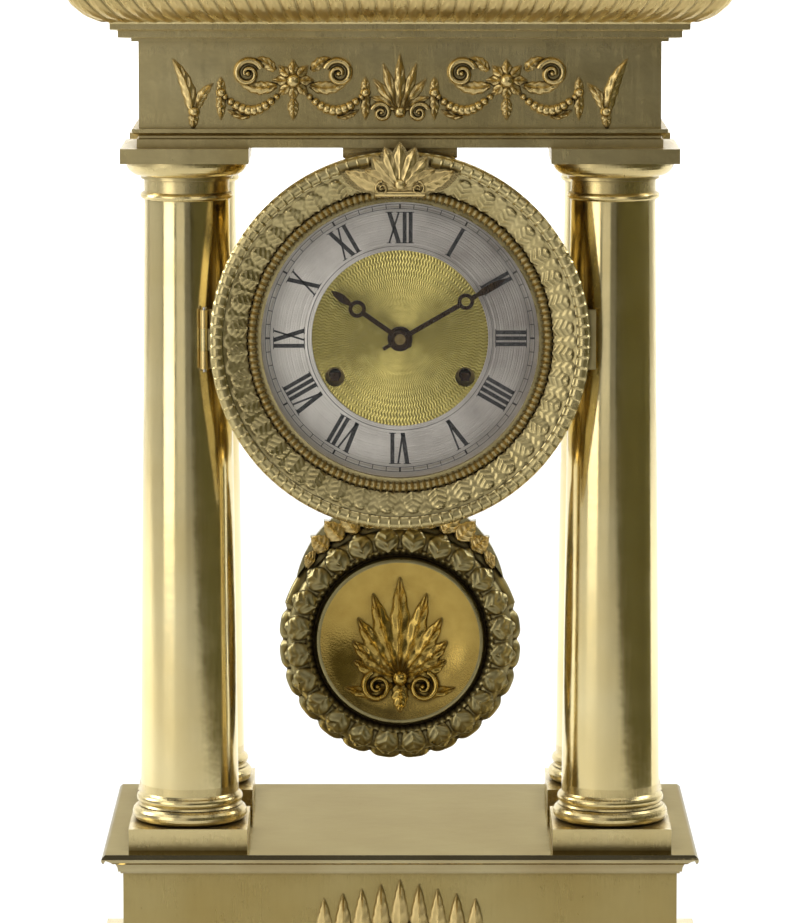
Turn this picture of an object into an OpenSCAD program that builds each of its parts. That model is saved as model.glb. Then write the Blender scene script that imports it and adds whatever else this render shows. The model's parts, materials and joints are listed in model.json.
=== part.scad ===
// Portico mantel clock: four columns on a moulded base carry an entablature,
// from which a drum with an eight-day movement and its dial is hung.
// Origin: centre of the footprint, on the surface that the clock stands on.
// The dial faces -Y, +Z is up.

/* [Columns] */
// Distance between the column axes from left to right
col_pitch_x = 157.5; // [155:0.5:190]
// Distance between the column axes from front to back
col_pitch_y = 76; // [76:0.5:96]
// Height of a whole column, from base plate to architrave
col_h = 261; // [255:1:300]
// Diameter of the shaft at its foot
shaft_d_low = 36.5; // [33:0.5:37]
// Diameter of the shaft at its neck
shaft_d_top = 31.5; // [28:0.5:32]
// Bore through the hollow shaft
shaft_bore_d = 25; // [12:0.5:25]
// Side of the square plinth under a column
plinth_w = 44; // [42:0.5:47]
// Height of that plinth
plinth_h = 8; // [5:0.5:12]
// Height of a column base with its plinth
col_base_h = 22; // [20:0.5:28]
// Height of a capital with its abacus
capital_h = 20; // [18:0.5:26]
// Side of the square abacus
abacus_w = 47; // [44:0.5:50]
// Thickness of the abacus
abacus_h = 5.5; // [4:0.5:7]

/* [Base] */
// Height of a foot
foot_h = 12; // [8:0.5:18]
// Diameter of a foot
foot_d = 34; // [26:0.5:36]
// Height of the moulding above the feet
foot_moulding_h = 18; // [14:0.5:26]
// How far that moulding stands out from the base panels
foot_moulding_out = 22; // [15:0.5:26]
// Height of the base panels
panel_h = 44; // [36:0.5:60]
// Thickness of the base panels
panel_t = 3; // [2:0.5:5]
// Thickness of the base top plate
plate_h = 8; // [6:0.5:12]
// How far the plate reaches past the column axes
plate_reach = 31.75; // [30:0.25:40]
// How far the panels stand in from the plate edge
panel_inset = 7.75; // [6:0.25:11]

/* [Entablature] */
// Height of the architrave
architrave_h = 7; // [6:0.5:10]
// Height of the frieze
frieze_h = 32; // [30:0.5:44]
// Thickness of the frieze panels
frieze_t = 3; // [2:0.5:4]
// How far the frieze reaches past the column axes
frieze_reach = 16.75; // [15:0.25:17.5]
// Height of the cornice
cornice_h = 34; // [30:0.5:44]
// How far the cornice stands out from the frieze
cornice_out = 29.5; // [24:0.5:32]
// Thickness of the slab on top
top_slab_h = 6; // [4:0.5:10]

/* [Tie rods] */
// Diameter of the rods through the columns
rod_d = 5; // [4:0.5:7]
// Distance across the flats of a rod nut
nut_af = 9; // [8:0.5:11]
// Thickness of a rod nut
nut_h = 4; // [3:0.5:6]

/* [Drum and dial] */
// Distance of the dial centre below the architrave
dial_drop = 70.5; // [70.5:0.5:76]
// How far the back of the bezel lies in front of the column axes
dial_fwd = 16; // [16:0.25:18]
// Inner radius of the drum, and radius of the dial plate in it
dial_r = 54; // [53:0.5:55]
// Wall of the drum shell
drum_wall = 2; // [1.5:0.25:2.5]
// Length of the drum shell
drum_len = 78; // [76:0.5:84]
// How far the bezel reaches past the dial plate
bezel_over = 15.5; // [13:0.5:15.5]
// How far the opening in the bezel lies inside the dial plate
sight_in = 3; // [2.5:0.25:4]
// Thickness of the bezel
bezel_t = 11; // [10:0.5:13]
// Thickness of the bezel glass
glass_t = 1.5; // [1:0.25:2.5]
// Width of the chapter ring
chapter_w = 20; // [18:0.5:21]
// Angle of the winding holes below the horizontal
wind_a = 31; // [25:1:33]
// Radius of a winding hole
wind_hole_r = 3.6; // [3.4:0.1:4]
// Gap between the tip of the minute hand and the edge of the opening
minute_tip_gap = 6; // [3:0.5:10]
// Gap between the tip of the hour hand and the chapter ring
hour_tip_gap = 1.5; // [0:0.5:6]

/* [Movement] */
// Radius of the movement plates
mplate_r = 44; // [44:0.5:46]
// Thickness of the movement plates
mplate_t = 2; // [1.5:0.25:2]
// Gap between the two plates
pillar_len = 34; // [34:0.5:36]
// Gap between a spring barrel and the edge of the plates
barrel_edge = 0.5; // [0.5:0.25:2]
// Length of a spring barrel
barrel_len = 18; // [14:0.5:18]
// Height of the suspension point above the dial centre
pivot_rise = 30; // [29:0.5:31]

/* [Pendulum] */
// Distance from the suspension point to the bob centre
pendulum_len = 151; // [149:0.5:154]
// Radius of the bob
bob_r = 46; // [40:0.5:47]
// Thickness of the bob
bob_t = 12; // [8:0.5:14]
// How far the leaf crest stands above the bob
crest_rise = 11.5; // [8:0.5:13]
// Width of a leaf of that crest
crest_leaf_w = 14; // [12:0.5:16]
// Diameter of the pendulum rod
pend_rod_d = 2.4; // [2:0.1:3]

/* [Hidden] */
$fn = 64;
gilt = [0.83, 0.66, 0.34];
dull_gilt = [0.68, 0.53, 0.27];
brass = [0.80, 0.68, 0.38];
steel = [0.55, 0.56, 0.58];
blued = [0.20, 0.13, 0.10];
silver = [0.80, 0.79, 0.75];

// Plan of the columns, the base and the entablature
cx = col_pitch_x / 2;
cy = col_pitch_y / 2;
plate_w = col_pitch_x + 2 * plate_reach;
plate_d = col_pitch_y + 2 * plate_reach;
panel_w = plate_w - 2 * panel_inset;
panel_d = plate_d - 2 * panel_inset;
frieze_w = col_pitch_x + 2 * frieze_reach;
frieze_d = col_pitch_y + 2 * frieze_reach;
far = 60;
shell_t = 4;
hollow_in = frieze_d / 2 - 2;

// Heights of the stack
z_moulding = foot_h;
z_panel = z_moulding + foot_moulding_h;
z_plate = z_panel + panel_h;
z_deck = z_plate + plate_h;
z_capital = z_deck + col_h - capital_h;
z_arch = z_deck + col_h;
z_frieze = z_arch + architrave_h;
z_cornice = z_frieze + frieze_h;
z_slab = z_cornice + cornice_h;
shaft_h = col_h - col_base_h - capital_h;
dial_z = z_arch - dial_drop;
pivot_z = dial_z + pivot_rise;
bob_z = pivot_z - pendulum_len;

// Depths, from the bezel to the rear door
run_gap = 0.05;
seat_t = 2;
drum_r = dial_r + drum_wall;
sight_r = dial_r - sight_in;
bezel_r = dial_r + bezel_over;
chapter_margin = 1.5;
chapter_r = dial_r - chapter_margin;
chapter_in_r = chapter_r - chapter_w;
minute_len = sight_r - minute_tip_gap;
hour_len = chapter_in_r - hour_tip_gap;
dial_foot_r = mplate_r - 4;
seat_rim = 6;
ring_t = 0.9;
ring_gap = 0.1;
dial_t = 1.5;
dial_foot_len = 5.5;
y_seat = -(cy + dial_fwd);
y_drum = y_seat + seat_t;
y_ring = y_drum + ring_gap;
y_dial = y_ring + ring_t;
y_feet = y_dial + dial_t;
y_front = y_feet + dial_foot_len;
y_pillar = y_front + mplate_t;
y_rear = y_pillar + pillar_len;
y_behind = y_rear + mplate_t;
y_drum_end = y_drum + drum_len;
y_pend = y_behind + 6;
rod_hole_r = rod_d / 2 + 0.25;

// Hinge of the bezel, on the left of the dial
bezel_gap = 0.2;
y_bezel = y_seat - bezel_gap;
bezel_rebate = 2;
glass_inset = 3;
knuckle_r = 1.6;
pin_r = 0.75;
hinge_x = bezel_r + knuckle_r + 0.7;
hinge_y = y_seat - knuckle_r - 0.1;
knuckle_h = 8;
knuckle_gap = 0.15;
ear_h = 22;
ear_t = 0.6;

// Bolts that hang the drum from the architrave
bolt_d = 4;
bolt_head_d = 8;
bolt_head_h = 3;
bolt_ys = [y_drum + 14, y_drum + 44];

// Rear rim and its door
rim_t = 2;
rim_r = drum_r + 1;
rim_in_r = mplate_r;
door_r = drum_r - 3.5;
door_t = 1.6;
door_gap = 0.2;
door_knuckle_r = 1.3;
door_pin_r = 0.6;
y_rim = y_drum_end;
y_door = y_rim + rim_t + door_gap;
door_hinge_x = drum_r - 1;
door_hinge_y = y_door + door_knuckle_r + 0.2;

// Places of the wheels and arbors
wind_r = mplate_r * 7 / 11;
barrel_r = mplate_r - wind_r - barrel_edge;
wind_x = wind_r * cos(wind_a);
wind_z = -wind_r * sin(wind_a);
arbor_r = 1;
hands_front = 2.6;
motion_r = 15;
pinion_r = 5;
hour_motion_r = 16;
hour_pinion_r = 4;
mesh_gap = 0.2;
motion_pitch = motion_r + pinion_r + mesh_gap;
motion_a = 60;
motion_t = 1.3;
motion_x = motion_pitch * cos(motion_a);
motion_z = motion_pitch * sin(motion_a);
stud_r = 1.15;
cannon_r = 2;
pipe_wall = 1.1;
pipe_in_r = cannon_r + run_gap;
pipe_r = pipe_in_r + pipe_wall;
escape_r = 8.5;
escape_drop = 12;
tooth_h = 1;
pallet_gap = 0.9;
wheel_t = 1.4;
minute_a = 60;
hour_a = 305;
spring_w = 5;
crutch_len = 40;
knob_rise = 5;
crest_depth = 30;
relief_in = 13.5;
square_r = 2.2;
bell_r = 22;
bell_y = y_pend + 6;
hammer_x = -28;
hammer_off = 3.5;
hammer_z = 26;
hammer_len = sqrt(pow(bell_r + hammer_off + hammer_x, 2) + pow(hammer_z + 8, 2));
hammer_tilt = atan((bell_r + hammer_off + hammer_x) / (hammer_z + 8));

// Points of an arc, for the moulding profiles
function arc(x, y, r, a0, a1, n = 6) =
    [for (i = [0:n]) let (a = a0 + (a1 - a0) * i / n) [x + r * cos(a), y + r * sin(a)]];

// A rectangular slab with the same profile on all four sides
module section(w, pts) {
    n = len(pts) - 1;
    right = [for (p = pts) [w / 2 + p[0], p[1]]];
    left = [for (i = [n:-1:0]) [-w / 2 - pts[i][0], pts[i][1]]];
    polygon(concat(right, left));
}
module moulded(w, d, pts) {
    intersection() {
        translate([0, d / 2 + far, 0]) rotate([90, 0, 0])
            linear_extrude(d + 2 * far) section(w, pts);
        translate([-w / 2 - far, 0, 0]) rotate([90, 0, 90])
            linear_extrude(w + 2 * far) section(d, pts);
    }
}
// Wedges that cut a moulding into mitred long sides or short sides
module faces_only(w, d, h) {
    k = w / 2 - d / 2;
    for (s = [-1, 1])
        intersection() {
            children();
            translate([0, 0, -1]) linear_extrude(h + 2)
                polygon([[-k, s * 0.01], [k, s * 0.01], [w / 2 + far, s * (d / 2 + far)],
                    [-w / 2 - far, s * (d / 2 + far)]]);
        }
}
module ends_only(w, d, h) {
    k = w / 2 - d / 2;
    for (s = [-1, 1])
        intersection() {
            children();
            translate([0, 0, -1]) linear_extrude(h + 2)
                polygon([[s * k, 0], [s * (w / 2 + far), d / 2 + far],
                    [s * (w / 2 + far), -d / 2 - far]]);
        }
}
// A turned piece about a line along Y at height z, drawn as radius against y
module about_y(z) {
    translate([0, 0, z]) rotate([-90, 0, 0]) rotate_extrude($fn = 96) children();
}
// A round bar or disc along Y, from y to y + len
module disc(x, y, z, r, len) {
    translate([x, y, z]) rotate([-90, 0, 0]) cylinder(h = len, r = r);
}
// A flat shape drawn as seen from the front, standing out t from the face at y
module on_front(y, z, t) {
    translate([0, y, z]) rotate([90, 0, 0]) linear_extrude(t) children();
}
module corners(x, y) {
    for (i = [-1, 1], j = [-1, 1]) translate([i * x, j * y, 0]) children();
}
// A pointed leaf from the origin along +Y
module leaf(l, w) {
    r = (l * l + w * w) / (4 * w);
    intersection() {
        translate([r - w / 2, l / 2]) circle(r, $fn = 128);
        translate([w / 2 - r, l / 2]) circle(r, $fn = 128);
    }
}
module fan(n, spread, l, w) {
    for (i = [0:n - 1])
        rotate(-spread / 2 + spread * i / (n - 1))
            leaf(l * (1 - 0.18 * abs(2 * i / (n - 1) - 1)), w);
}
// A wheel rim with pointed teeth
module teeth(r, n, h) {
    polygon([for (i = [0:2 * n - 1]) let (q = i % 2 == 0 ? r : r - h, a = 180 * i / n)
        [q * cos(a), q * sin(a)]]);
}
module wheel(x, y, z, r, n, t, hole_r) {
    translate([x, y, z]) rotate([-90, 0, 0]) linear_extrude(t) difference() {
        teeth(r, n, tooth_h);
        circle(hole_r);
    }
}
module crossed_wheel(x, y, z, r, n, t, hole_r) {
    translate([x, y, z]) rotate([-90, 0, 0]) linear_extrude(t) difference() {
        teeth(r, n, tooth_h);
        circle(hole_r);
        for (a = [0:90:270]) rotate(a + 45) translate([r * 0.5, 0]) circle(r * 0.24);
    }
}

// ---- Base
module feet() {
    r = foot_d / 2;
    belly = foot_h * 0.45;
    color(gilt) corners(panel_w / 2 - r + 8, panel_d / 2 - r + 8)
        rotate_extrude() polygon(concat([[0, 0], [r * 0.62, 0]],
            arc(r - belly, belly, belly, -70, 70, 8),
            [[r * 0.72, foot_h], [0, foot_h]]));
}
// Profile of the moulding above the feet: plinth, hollow and small round
function foot_profile() = concat(
    [[-foot_moulding_out, 0], [foot_moulding_out, 0], [foot_moulding_out, foot_moulding_h * 0.3],
    [foot_moulding_out - 1.5, foot_moulding_h * 0.36]],
    arc(foot_moulding_out - 1.5, foot_moulding_h * 0.86, foot_moulding_h * 0.42, 262, 188, 6),
    [[4, foot_moulding_h * 0.86], [4, foot_moulding_h * 0.93], [1.5, foot_moulding_h],
    [-foot_moulding_out, foot_moulding_h]]);
module foot_moulding() {
    inner = 5;
    translate([0, 0, z_moulding]) difference() {
        moulded(panel_w, panel_d, foot_profile());
        translate([-panel_w / 2 + inner, -panel_d / 2 + inner, -1])
            cube([panel_w - 2 * inner, panel_d - 2 * inner, foot_moulding_h + 2]);
    }
}
module foot_moulding_faces() {
    color(gilt) faces_only(panel_w, panel_d, z_panel) foot_moulding();
}
module foot_moulding_ends() {
    color(gilt) ends_only(panel_w, panel_d, z_panel) foot_moulding();
}
module base_face_panels() {
    color(gilt) for (s = [-1, 1])
        translate([-panel_w / 2, s * (panel_d / 2 - panel_t / 2) - panel_t / 2, z_panel])
            cube([panel_w, panel_t, panel_h]);
}
module base_end_panels() {
    color(gilt) for (s = [-1, 1])
        translate([s * (panel_w / 2 - panel_t / 2) - panel_t / 2, -panel_d / 2 + panel_t, z_panel])
            cube([panel_t, panel_d - 2 * panel_t, panel_h]);
}
// Profile of the top plate: hollow under the edge, round nose, bevel on top
function plate_profile() = concat(
    [[-20, 0], [-panel_inset + 1, 0], [-panel_inset + 1, plate_h * 0.1]],
    arc(-0.6, plate_h * 0.1, panel_inset - 2.4, 180, 100, 5),
    arc(-plate_h * 0.2, plate_h * 0.76, plate_h * 0.2, -60, 60, 5),
    [[-1.4, plate_h], [-20, plate_h]]);
module base_top_plate() {
    color(gilt) translate([0, 0, z_plate]) difference() {
        moulded(plate_w, plate_d, plate_profile());
        corners(cx, cy) translate([0, 0, -1]) cylinder(h = plate_h + 2, r = rod_hole_r);
        translate([-cx + nut_af, -panel_d / 2 + panel_t + 4, -1])
            cube([2 * (cx - nut_af), panel_d - 2 * panel_t - 8, plate_h - shell_t + 1]);
    }
}
// Upright leaves applied to the middle of the front panel
module base_front_mount() {
    mount_h = panel_h - 5;
    mount_w = 64;
    leaf_n = 9;
    leaf_w = mount_w / leaf_n;
    color(gilt) on_front(-panel_d / 2, z_panel + 3, 3) union() {
        for (i = [0:leaf_n - 1]) let (k = i - (leaf_n - 1) / 2)
            translate([k * leaf_w, 0]) leaf(mount_h - abs(k) * 1.8, leaf_w * 1.3);
        translate([-mount_w / 2 + 0.3, 0]) square([mount_w - 0.6, 7]);
    }
}

// ---- Columns
module tie_rods() {
    color(steel) corners(cx, cy) translate([0, 0, z_plate - nut_h - 2])
        cylinder(h = plate_h + col_h + architrave_h + 2 * nut_h + 4, d = rod_d);
}
module rod_nut() {
    difference() {
        cylinder(h = nut_h, d = nut_af / cos(30), $fn = 6);
        translate([0, 0, -1]) cylinder(h = nut_h + 2, d = rod_d + 2 * run_gap);
    }
}
module tie_rod_nuts() {
    color(steel) corners(cx, cy) {
        translate([0, 0, z_plate - nut_h]) rod_nut();
        translate([0, 0, z_frieze]) rod_nut();
    }
}
module column_bases() {
    r = shaft_d_low / 2;
    ring_h = (col_base_h - plinth_h) / 7;
    big = ring_h * 1.5;
    small = ring_h;
    color(gilt) corners(cx, cy) translate([0, 0, z_deck]) difference() {
        union() {
            translate([-plinth_w / 2, -plinth_w / 2, 0]) cube([plinth_w, plinth_w, plinth_h]);
            translate([0, 0, plinth_h]) rotate_extrude($fn = 96) polygon(concat(
                [[0, 0], [r, 0]],
                arc(plinth_w / 2 - 0.6 - big, big, big, -80, 80, 8),
                [[r + 1.2, big * 2], [r + 0.8, big * 2 + 0.6]],
                arc(r + 1.6 - small, big * 2 + 0.6 + small, small, -60, 60, 6),
                [[r, big * 2 + 1 + small * 2], [r, col_base_h - plinth_h], [0, col_base_h - plinth_h]]));
        }
        translate([0, 0, -1]) cylinder(h = col_base_h + 2, r = rod_hole_r);
    }
}
module column_shaft(i, j) {
    color(gilt) translate([i * cx, j * cy, z_deck + col_base_h]) difference() {
        cylinder(h = shaft_h, d1 = shaft_d_low, d2 = shaft_d_top, $fn = 96);
        translate([0, 0, -1]) cylinder(h = shaft_h + 2, d = shaft_bore_d);
    }
}
module column_shaft_front_left() { column_shaft(-1, -1); }
module column_shaft_front_right() { column_shaft(1, -1); }
module column_shaft_rear_left() { column_shaft(-1, 1); }
module column_shaft_rear_right() { column_shaft(1, 1); }
module column_capitals() {
    r = shaft_d_top / 2;
    bell_h = capital_h - abacus_h;
    out = abacus_w / 2 - 1;
    color(gilt) corners(cx, cy) translate([0, 0, z_capital]) difference() {
        union() {
            rotate_extrude($fn = 96) polygon(concat(
                [[0, 0], [r, 0]],
                arc(r + 0.2, 1.3, 1.3, -80, 80, 6),
                [[r, 2.8], [r, bell_h * 0.5], [r + 1.2, bell_h * 0.52], [r + 1.2, bell_h * 0.6]],
                arc(out - bell_h * 0.36, bell_h * 0.96, bell_h * 0.36, -70, 0, 6),
                [[out, bell_h], [0, bell_h]]));
            translate([-abacus_w / 2, -abacus_w / 2, bell_h])
                cube([abacus_w, abacus_w, abacus_h]);
        }
        translate([0, 0, -1]) cylinder(h = capital_h + 2, r = rod_hole_r);
    }
}

// ---- Entablature
function architrave_profile() = [[-20, 0], [0.8, 0], [0.8, architrave_h * 0.45],
    [0, architrave_h * 0.5], [0, architrave_h * 0.62], [2.4, architrave_h * 0.8],
    [2.4, architrave_h], [-20, architrave_h]];
module architrave() {
    color(gilt) translate([0, 0, z_arch]) difference() {
        moulded(frieze_w, frieze_d, architrave_profile());
        corners(cx, cy) translate([0, 0, -1]) cylinder(h = architrave_h + 2, r = rod_hole_r);
        for (y = bolt_ys) translate([0, y, -1])
            cylinder(h = architrave_h + 2, d = bolt_d + 2 * run_gap);
    }
}
module frieze_faces() {
    color(gilt) for (s = [-1, 1])
        translate([-frieze_w / 2, s * (frieze_d / 2 - frieze_t / 2) - frieze_t / 2, z_frieze])
            cube([frieze_w, frieze_t, frieze_h]);
}
module frieze_ends() {
    color(gilt) for (s = [-1, 1])
        translate([s * (frieze_w / 2 - frieze_t / 2) - frieze_t / 2, -frieze_d / 2 + frieze_t, z_frieze])
            cube([frieze_t, frieze_d - 2 * frieze_t, frieze_h]);
}
// Profile of the cornice: small round, leafed sweep, fillet and crowning band
function cornice_profile() = concat(
    [[-10, 0], [2.5, 0], [2.5, cornice_h * 0.03], [7.2, cornice_h * 0.05], [7.2, cornice_h * 0.12],
    [10, cornice_h * 0.14], [10, cornice_h * 0.2]],
    arc(cornice_out * 0.24, cornice_h * 0.8, cornice_h * 0.58, 280, 338, 8),
    [[cornice_out - 3, cornice_h * 0.68], [cornice_out - 3, cornice_h * 0.76],
    [cornice_out, cornice_h * 0.8], [cornice_out, cornice_h], [-10, cornice_h]]);
function cornice_hollow() = concat(
    [[-hollow_in, -1], [-2, -1], [-2, cornice_h * 0.22]],
    arc(cornice_out * 0.24, cornice_h * 0.8, cornice_h * 0.58 - shell_t, 280, 338, 8),
    [[cornice_out - 3 - shell_t, cornice_h * 0.7], [cornice_out - shell_t, cornice_h * 0.82],
    [cornice_out - shell_t, cornice_h - 3], [cornice_out - 22, cornice_h - 3],
    [cornice_out - 22, cornice_h + 1], [-hollow_in, cornice_h + 1]]);
module cornice() {
    translate([0, 0, z_cornice]) difference() {
        moulded(frieze_w, frieze_d, cornice_profile());
        moulded(frieze_w, frieze_d, cornice_hollow());
    }
}
module cornice_faces() {
    color(gilt) faces_only(frieze_w, frieze_d, z_slab) cornice();
}
module cornice_ends() {
    color(gilt) ends_only(frieze_w, frieze_d, z_slab) cornice();
}
function slab_profile() = [[-20, 0], [cornice_out - 16, 0], [cornice_out - 16, top_slab_h * 0.6],
    [cornice_out - 18, top_slab_h], [-20, top_slab_h]];
module top_slab() {
    color(gilt) translate([0, 0, z_slab]) difference() {
        moulded(frieze_w, frieze_d, slab_profile());
        translate([-frieze_w / 2, -frieze_d / 2, -1]) cube([frieze_w, frieze_d, top_slab_h / 2 + 1]);
    }
}
// Relief on the front of the frieze: scrolls and leaves either side of a palmette
module frieze_mount() {
    pitch = (frieze_w - 2 * relief_in) / 7.8;
    scroll_r = pitch * 0.36;
    fan_half = 60;
    fan_l = 19;
    fan_w = 6;
    color(gilt) on_front(-frieze_d / 2, z_frieze, 2.2) union() {
        translate([0, fan_w]) fan(7, 2 * fan_half, fan_l, fan_w);
        translate([-1.3, 4]) square([2.6, 22]);
        translate([-3.6 * pitch, 5]) square([7.2 * pitch, 2]);
        for (s = [-1, 1], i = [1:3]) translate([s * (i * pitch - 4), 13]) {
            difference() {
                circle(scroll_r);
                circle(scroll_r - 2.4);
            }
            circle(2.2);
            translate([-0.8, -scroll_r + 1]) square([1.6, scroll_r]);
            rotate(-s * 40) translate([0, scroll_r - 2.2]) leaf(9, 4);
            translate([s * pitch / 2, -9]) leaf(10, 4.6);
        }
        for (s = [-1, 1]) translate([s * 3.45 * pitch, 5]) rotate(-s * 28) leaf(20, 6.5);
    }
}

// ---- Drum, dial and bezel
module drum_top_mount() {
    w = 42;
    start = y_drum + 3;
    len = 56;
    color(gilt) difference() {
        translate([0, start + len, dial_z]) rotate([90, 0, 0]) linear_extrude(len) difference() {
            translate([-w / 2, 0]) square([w, z_arch - dial_z]);
            circle(drum_r, $fn = 96);
            for (s = [-1, 1]) translate([s * (w / 2 + 3), drum_r + 3]) circle(8);
        }
        for (y = bolt_ys) translate([0, y, dial_z])
            cylinder(h = z_arch, d = bolt_d + 2 * run_gap);
    }
}
module drum_bolts() {
    low = dial_z + drum_r - drum_wall - bolt_head_h;
    color(steel) for (y = bolt_ys) translate([0, y, 0]) {
        translate([0, 0, low]) cylinder(h = bolt_head_h - 0.1, d = bolt_head_d);
        translate([0, 0, low]) cylinder(h = z_frieze + nut_h + 1 - low, d = bolt_d);
        translate([0, 0, z_frieze]) cylinder(h = nut_h, d = bolt_head_d);
    }
}
module drum_shell() {
    slot_w = 17;
    slot_l = 9;
    color(gilt) difference() {
        about_y(dial_z) translate([drum_r - drum_wall, y_drum]) square([drum_wall, drum_len]);
        translate([-slot_w / 2, y_pend - slot_l / 2, dial_z - drum_r - 2]) cube([slot_w, slot_l, 12]);
        for (y = bolt_ys) translate([0, y, dial_z]) cylinder(h = drum_r + 2, d = bolt_d + 2 * run_gap);
    }
}
// Fixed ring behind the bezel, with the ears of the hinge
module bezel_seat() {
    color(brass) difference() {
        union() {
            about_y(dial_z) translate([sight_r + 0.5, y_seat])
                square([drum_r + seat_rim - sight_r - 0.5, seat_t]);
            translate([-hinge_x, y_seat, dial_z - ear_h / 2])
                cube([hinge_x - drum_r, ear_t, ear_h]);
            for (s = [-1, 1]) translate([-hinge_x, hinge_y, dial_z + s * (ear_h + knuckle_h) / 4])
                hinge_knuckle((ear_h - knuckle_h) / 2 - knuckle_gap);
        }
        translate([-hinge_x, hinge_y, dial_z - ear_h]) cylinder(h = 2 * ear_h, r = pin_r + run_gap);
    }
}
// A knuckle centred on the pin, with a web to the ear behind it
module hinge_knuckle(h) {
    translate([0, 0, -h / 2]) {
        cylinder(h = h, r = knuckle_r);
        translate([-0.6, 0, 0]) cube([2, y_seat + ear_t - hinge_y, h]);
    }
}
module bezel_hinge_pin() {
    color(steel) translate([-hinge_x, hinge_y, dial_z - ear_h / 2 - 1]) cylinder(h = ear_h + 2, r = pin_r);
}
// Bezel section: rim, leafed round, groove, bead and the lip at the glass
function bezel_profile() = concat(
    [[sight_r + bezel_rebate, y_bezel], [bezel_r - 0.8, y_bezel], [bezel_r, y_bezel - 0.8],
    [bezel_r, y_bezel - bezel_t + 3.2]],
    arc(bezel_r - 2.2, y_bezel - bezel_t + 3.2, 2.2, 0, -165, 8),
    [[bezel_r - 4.4, y_bezel - bezel_t + 2.8], [sight_r + 5.2, y_bezel - glass_inset - 2]],
    arc(sight_r + 3.4, y_bezel - glass_inset - 1.7, 1.6, -15, -165, 6),
    [[sight_r, y_bezel - glass_inset - 2.2], [sight_r, y_bezel - glass_inset - glass_t],
    [sight_r + bezel_rebate, y_bezel - glass_inset - glass_t]]);
module bezel() {
    color(dull_gilt) difference() {
        union() {
            about_y(dial_z) polygon(bezel_profile());
            translate([-hinge_x, hinge_y - 1, dial_z - knuckle_h / 2])
                cube([hinge_x - bezel_r + 2, 2, knuckle_h]);
            translate([-hinge_x, hinge_y, dial_z - knuckle_h / 2]) cylinder(h = knuckle_h, r = knuckle_r);
            translate([bezel_r - 2, hinge_y - 1, dial_z - ear_h / 2]) cube([4.5, 2, ear_h]);
        }
        translate([-hinge_x, hinge_y, dial_z - ear_h]) cylinder(h = 2 * ear_h, r = pin_r + run_gap);
    }
}
// Leaf cluster over the top of the bezel
module bezel_crest() {
    rise = z_arch + 3 - dial_z - sight_r - 5;
    back = y_bezel - bezel_t + 0.8;
    pad_t = 2.9;
    color(gilt) union() {
        on_front(back, dial_z, 2.2) translate([0, sight_r + 5]) {
            fan(9, 160, rise, 7.5);
            for (s = [-1, 1]) translate([s * 5, 1]) rotate(-s * 74) leaf(17, 8);
            translate([-9, -1.5]) square([18, 4.5]);
        }
        on_front(back + pad_t, dial_z, pad_t + 0.3) translate([-7, sight_r + 6.5]) square([14, 4]);
    }
}
module bezel_glass() {
    color([0.85, 0.9, 0.9, 0.35]) about_y(dial_z)
        translate([0, y_bezel - glass_inset - glass_t]) square([sight_r + bezel_rebate, glass_t]);
}
module dial_plate() {
    color(gilt) difference() {
        disc(0, y_dial, dial_z, dial_r, dial_t, $fn = 96);
        disc(0, y_dial - 1, dial_z, pipe_r + 0.4, dial_t + 2);
        for (s = [-1, 1])
            disc(s * wind_x, y_dial - 1, dial_z + wind_z, wind_hole_r, dial_t + 2);
    }
}
module chapter_ring() {
    color(silver) about_y(dial_z) translate([chapter_in_r, y_ring])
        square([chapter_r - chapter_in_r, ring_t]);
}
module dial_feet() {
    color(brass) for (a = [35, 145, 270])
        disc(dial_foot_r * cos(a), y_feet, dial_z + dial_foot_r * sin(a), 2, dial_foot_len);
}
module rear_rim() {
    color(brass) difference() {
        union() {
            about_y(dial_z) translate([rim_in_r, y_rim]) square([rim_r - rim_in_r, rim_t]);
            for (s = [-1, 1]) translate([-door_hinge_x, door_hinge_y, dial_z + s * 6 - 2]) {
                cylinder(h = 4, r = door_knuckle_r);
                translate([-1.2, y_rim - door_hinge_y, 0]) cube([2.2, door_hinge_y - y_rim, 4]);
                translate([0, y_rim - door_hinge_y, 0]) cube([5, rim_t, 4]);
            }
        }
        translate([-door_hinge_x, door_hinge_y, dial_z - 10]) cylinder(h = 20, r = door_pin_r + run_gap);
    }
}
module rear_hinge_pin() {
    color(steel) translate([-door_hinge_x, door_hinge_y, dial_z - 9]) cylinder(h = 18, r = door_pin_r);
}
module rear_door() {
    color(brass) difference() {
        union() {
            disc(0, y_door, dial_z, door_r, door_t, $fn = 96);
            disc(door_r - 8, y_door, dial_z, 3, 6);
            translate([-door_hinge_x, y_door, dial_z - 3.6]) cube([door_hinge_x - door_r + 6, door_t, 7.2]);
            translate([-door_hinge_x, door_hinge_y, dial_z - 3.6]) cylinder(h = 7.2, r = door_knuckle_r);
        }
        translate([-door_hinge_x, door_hinge_y, dial_z - 10]) cylinder(h = 20, r = door_pin_r + run_gap);
        for (a = [0:30:330]) disc(24 * cos(a), y_door - 1, dial_z + 24 * sin(a), 2.5, door_t + 2);
        for (a = [15:30:345]) disc(33 * cos(a), y_door - 1, dial_z + 33 * sin(a), 2.5, door_t + 2);
    }
}

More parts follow.
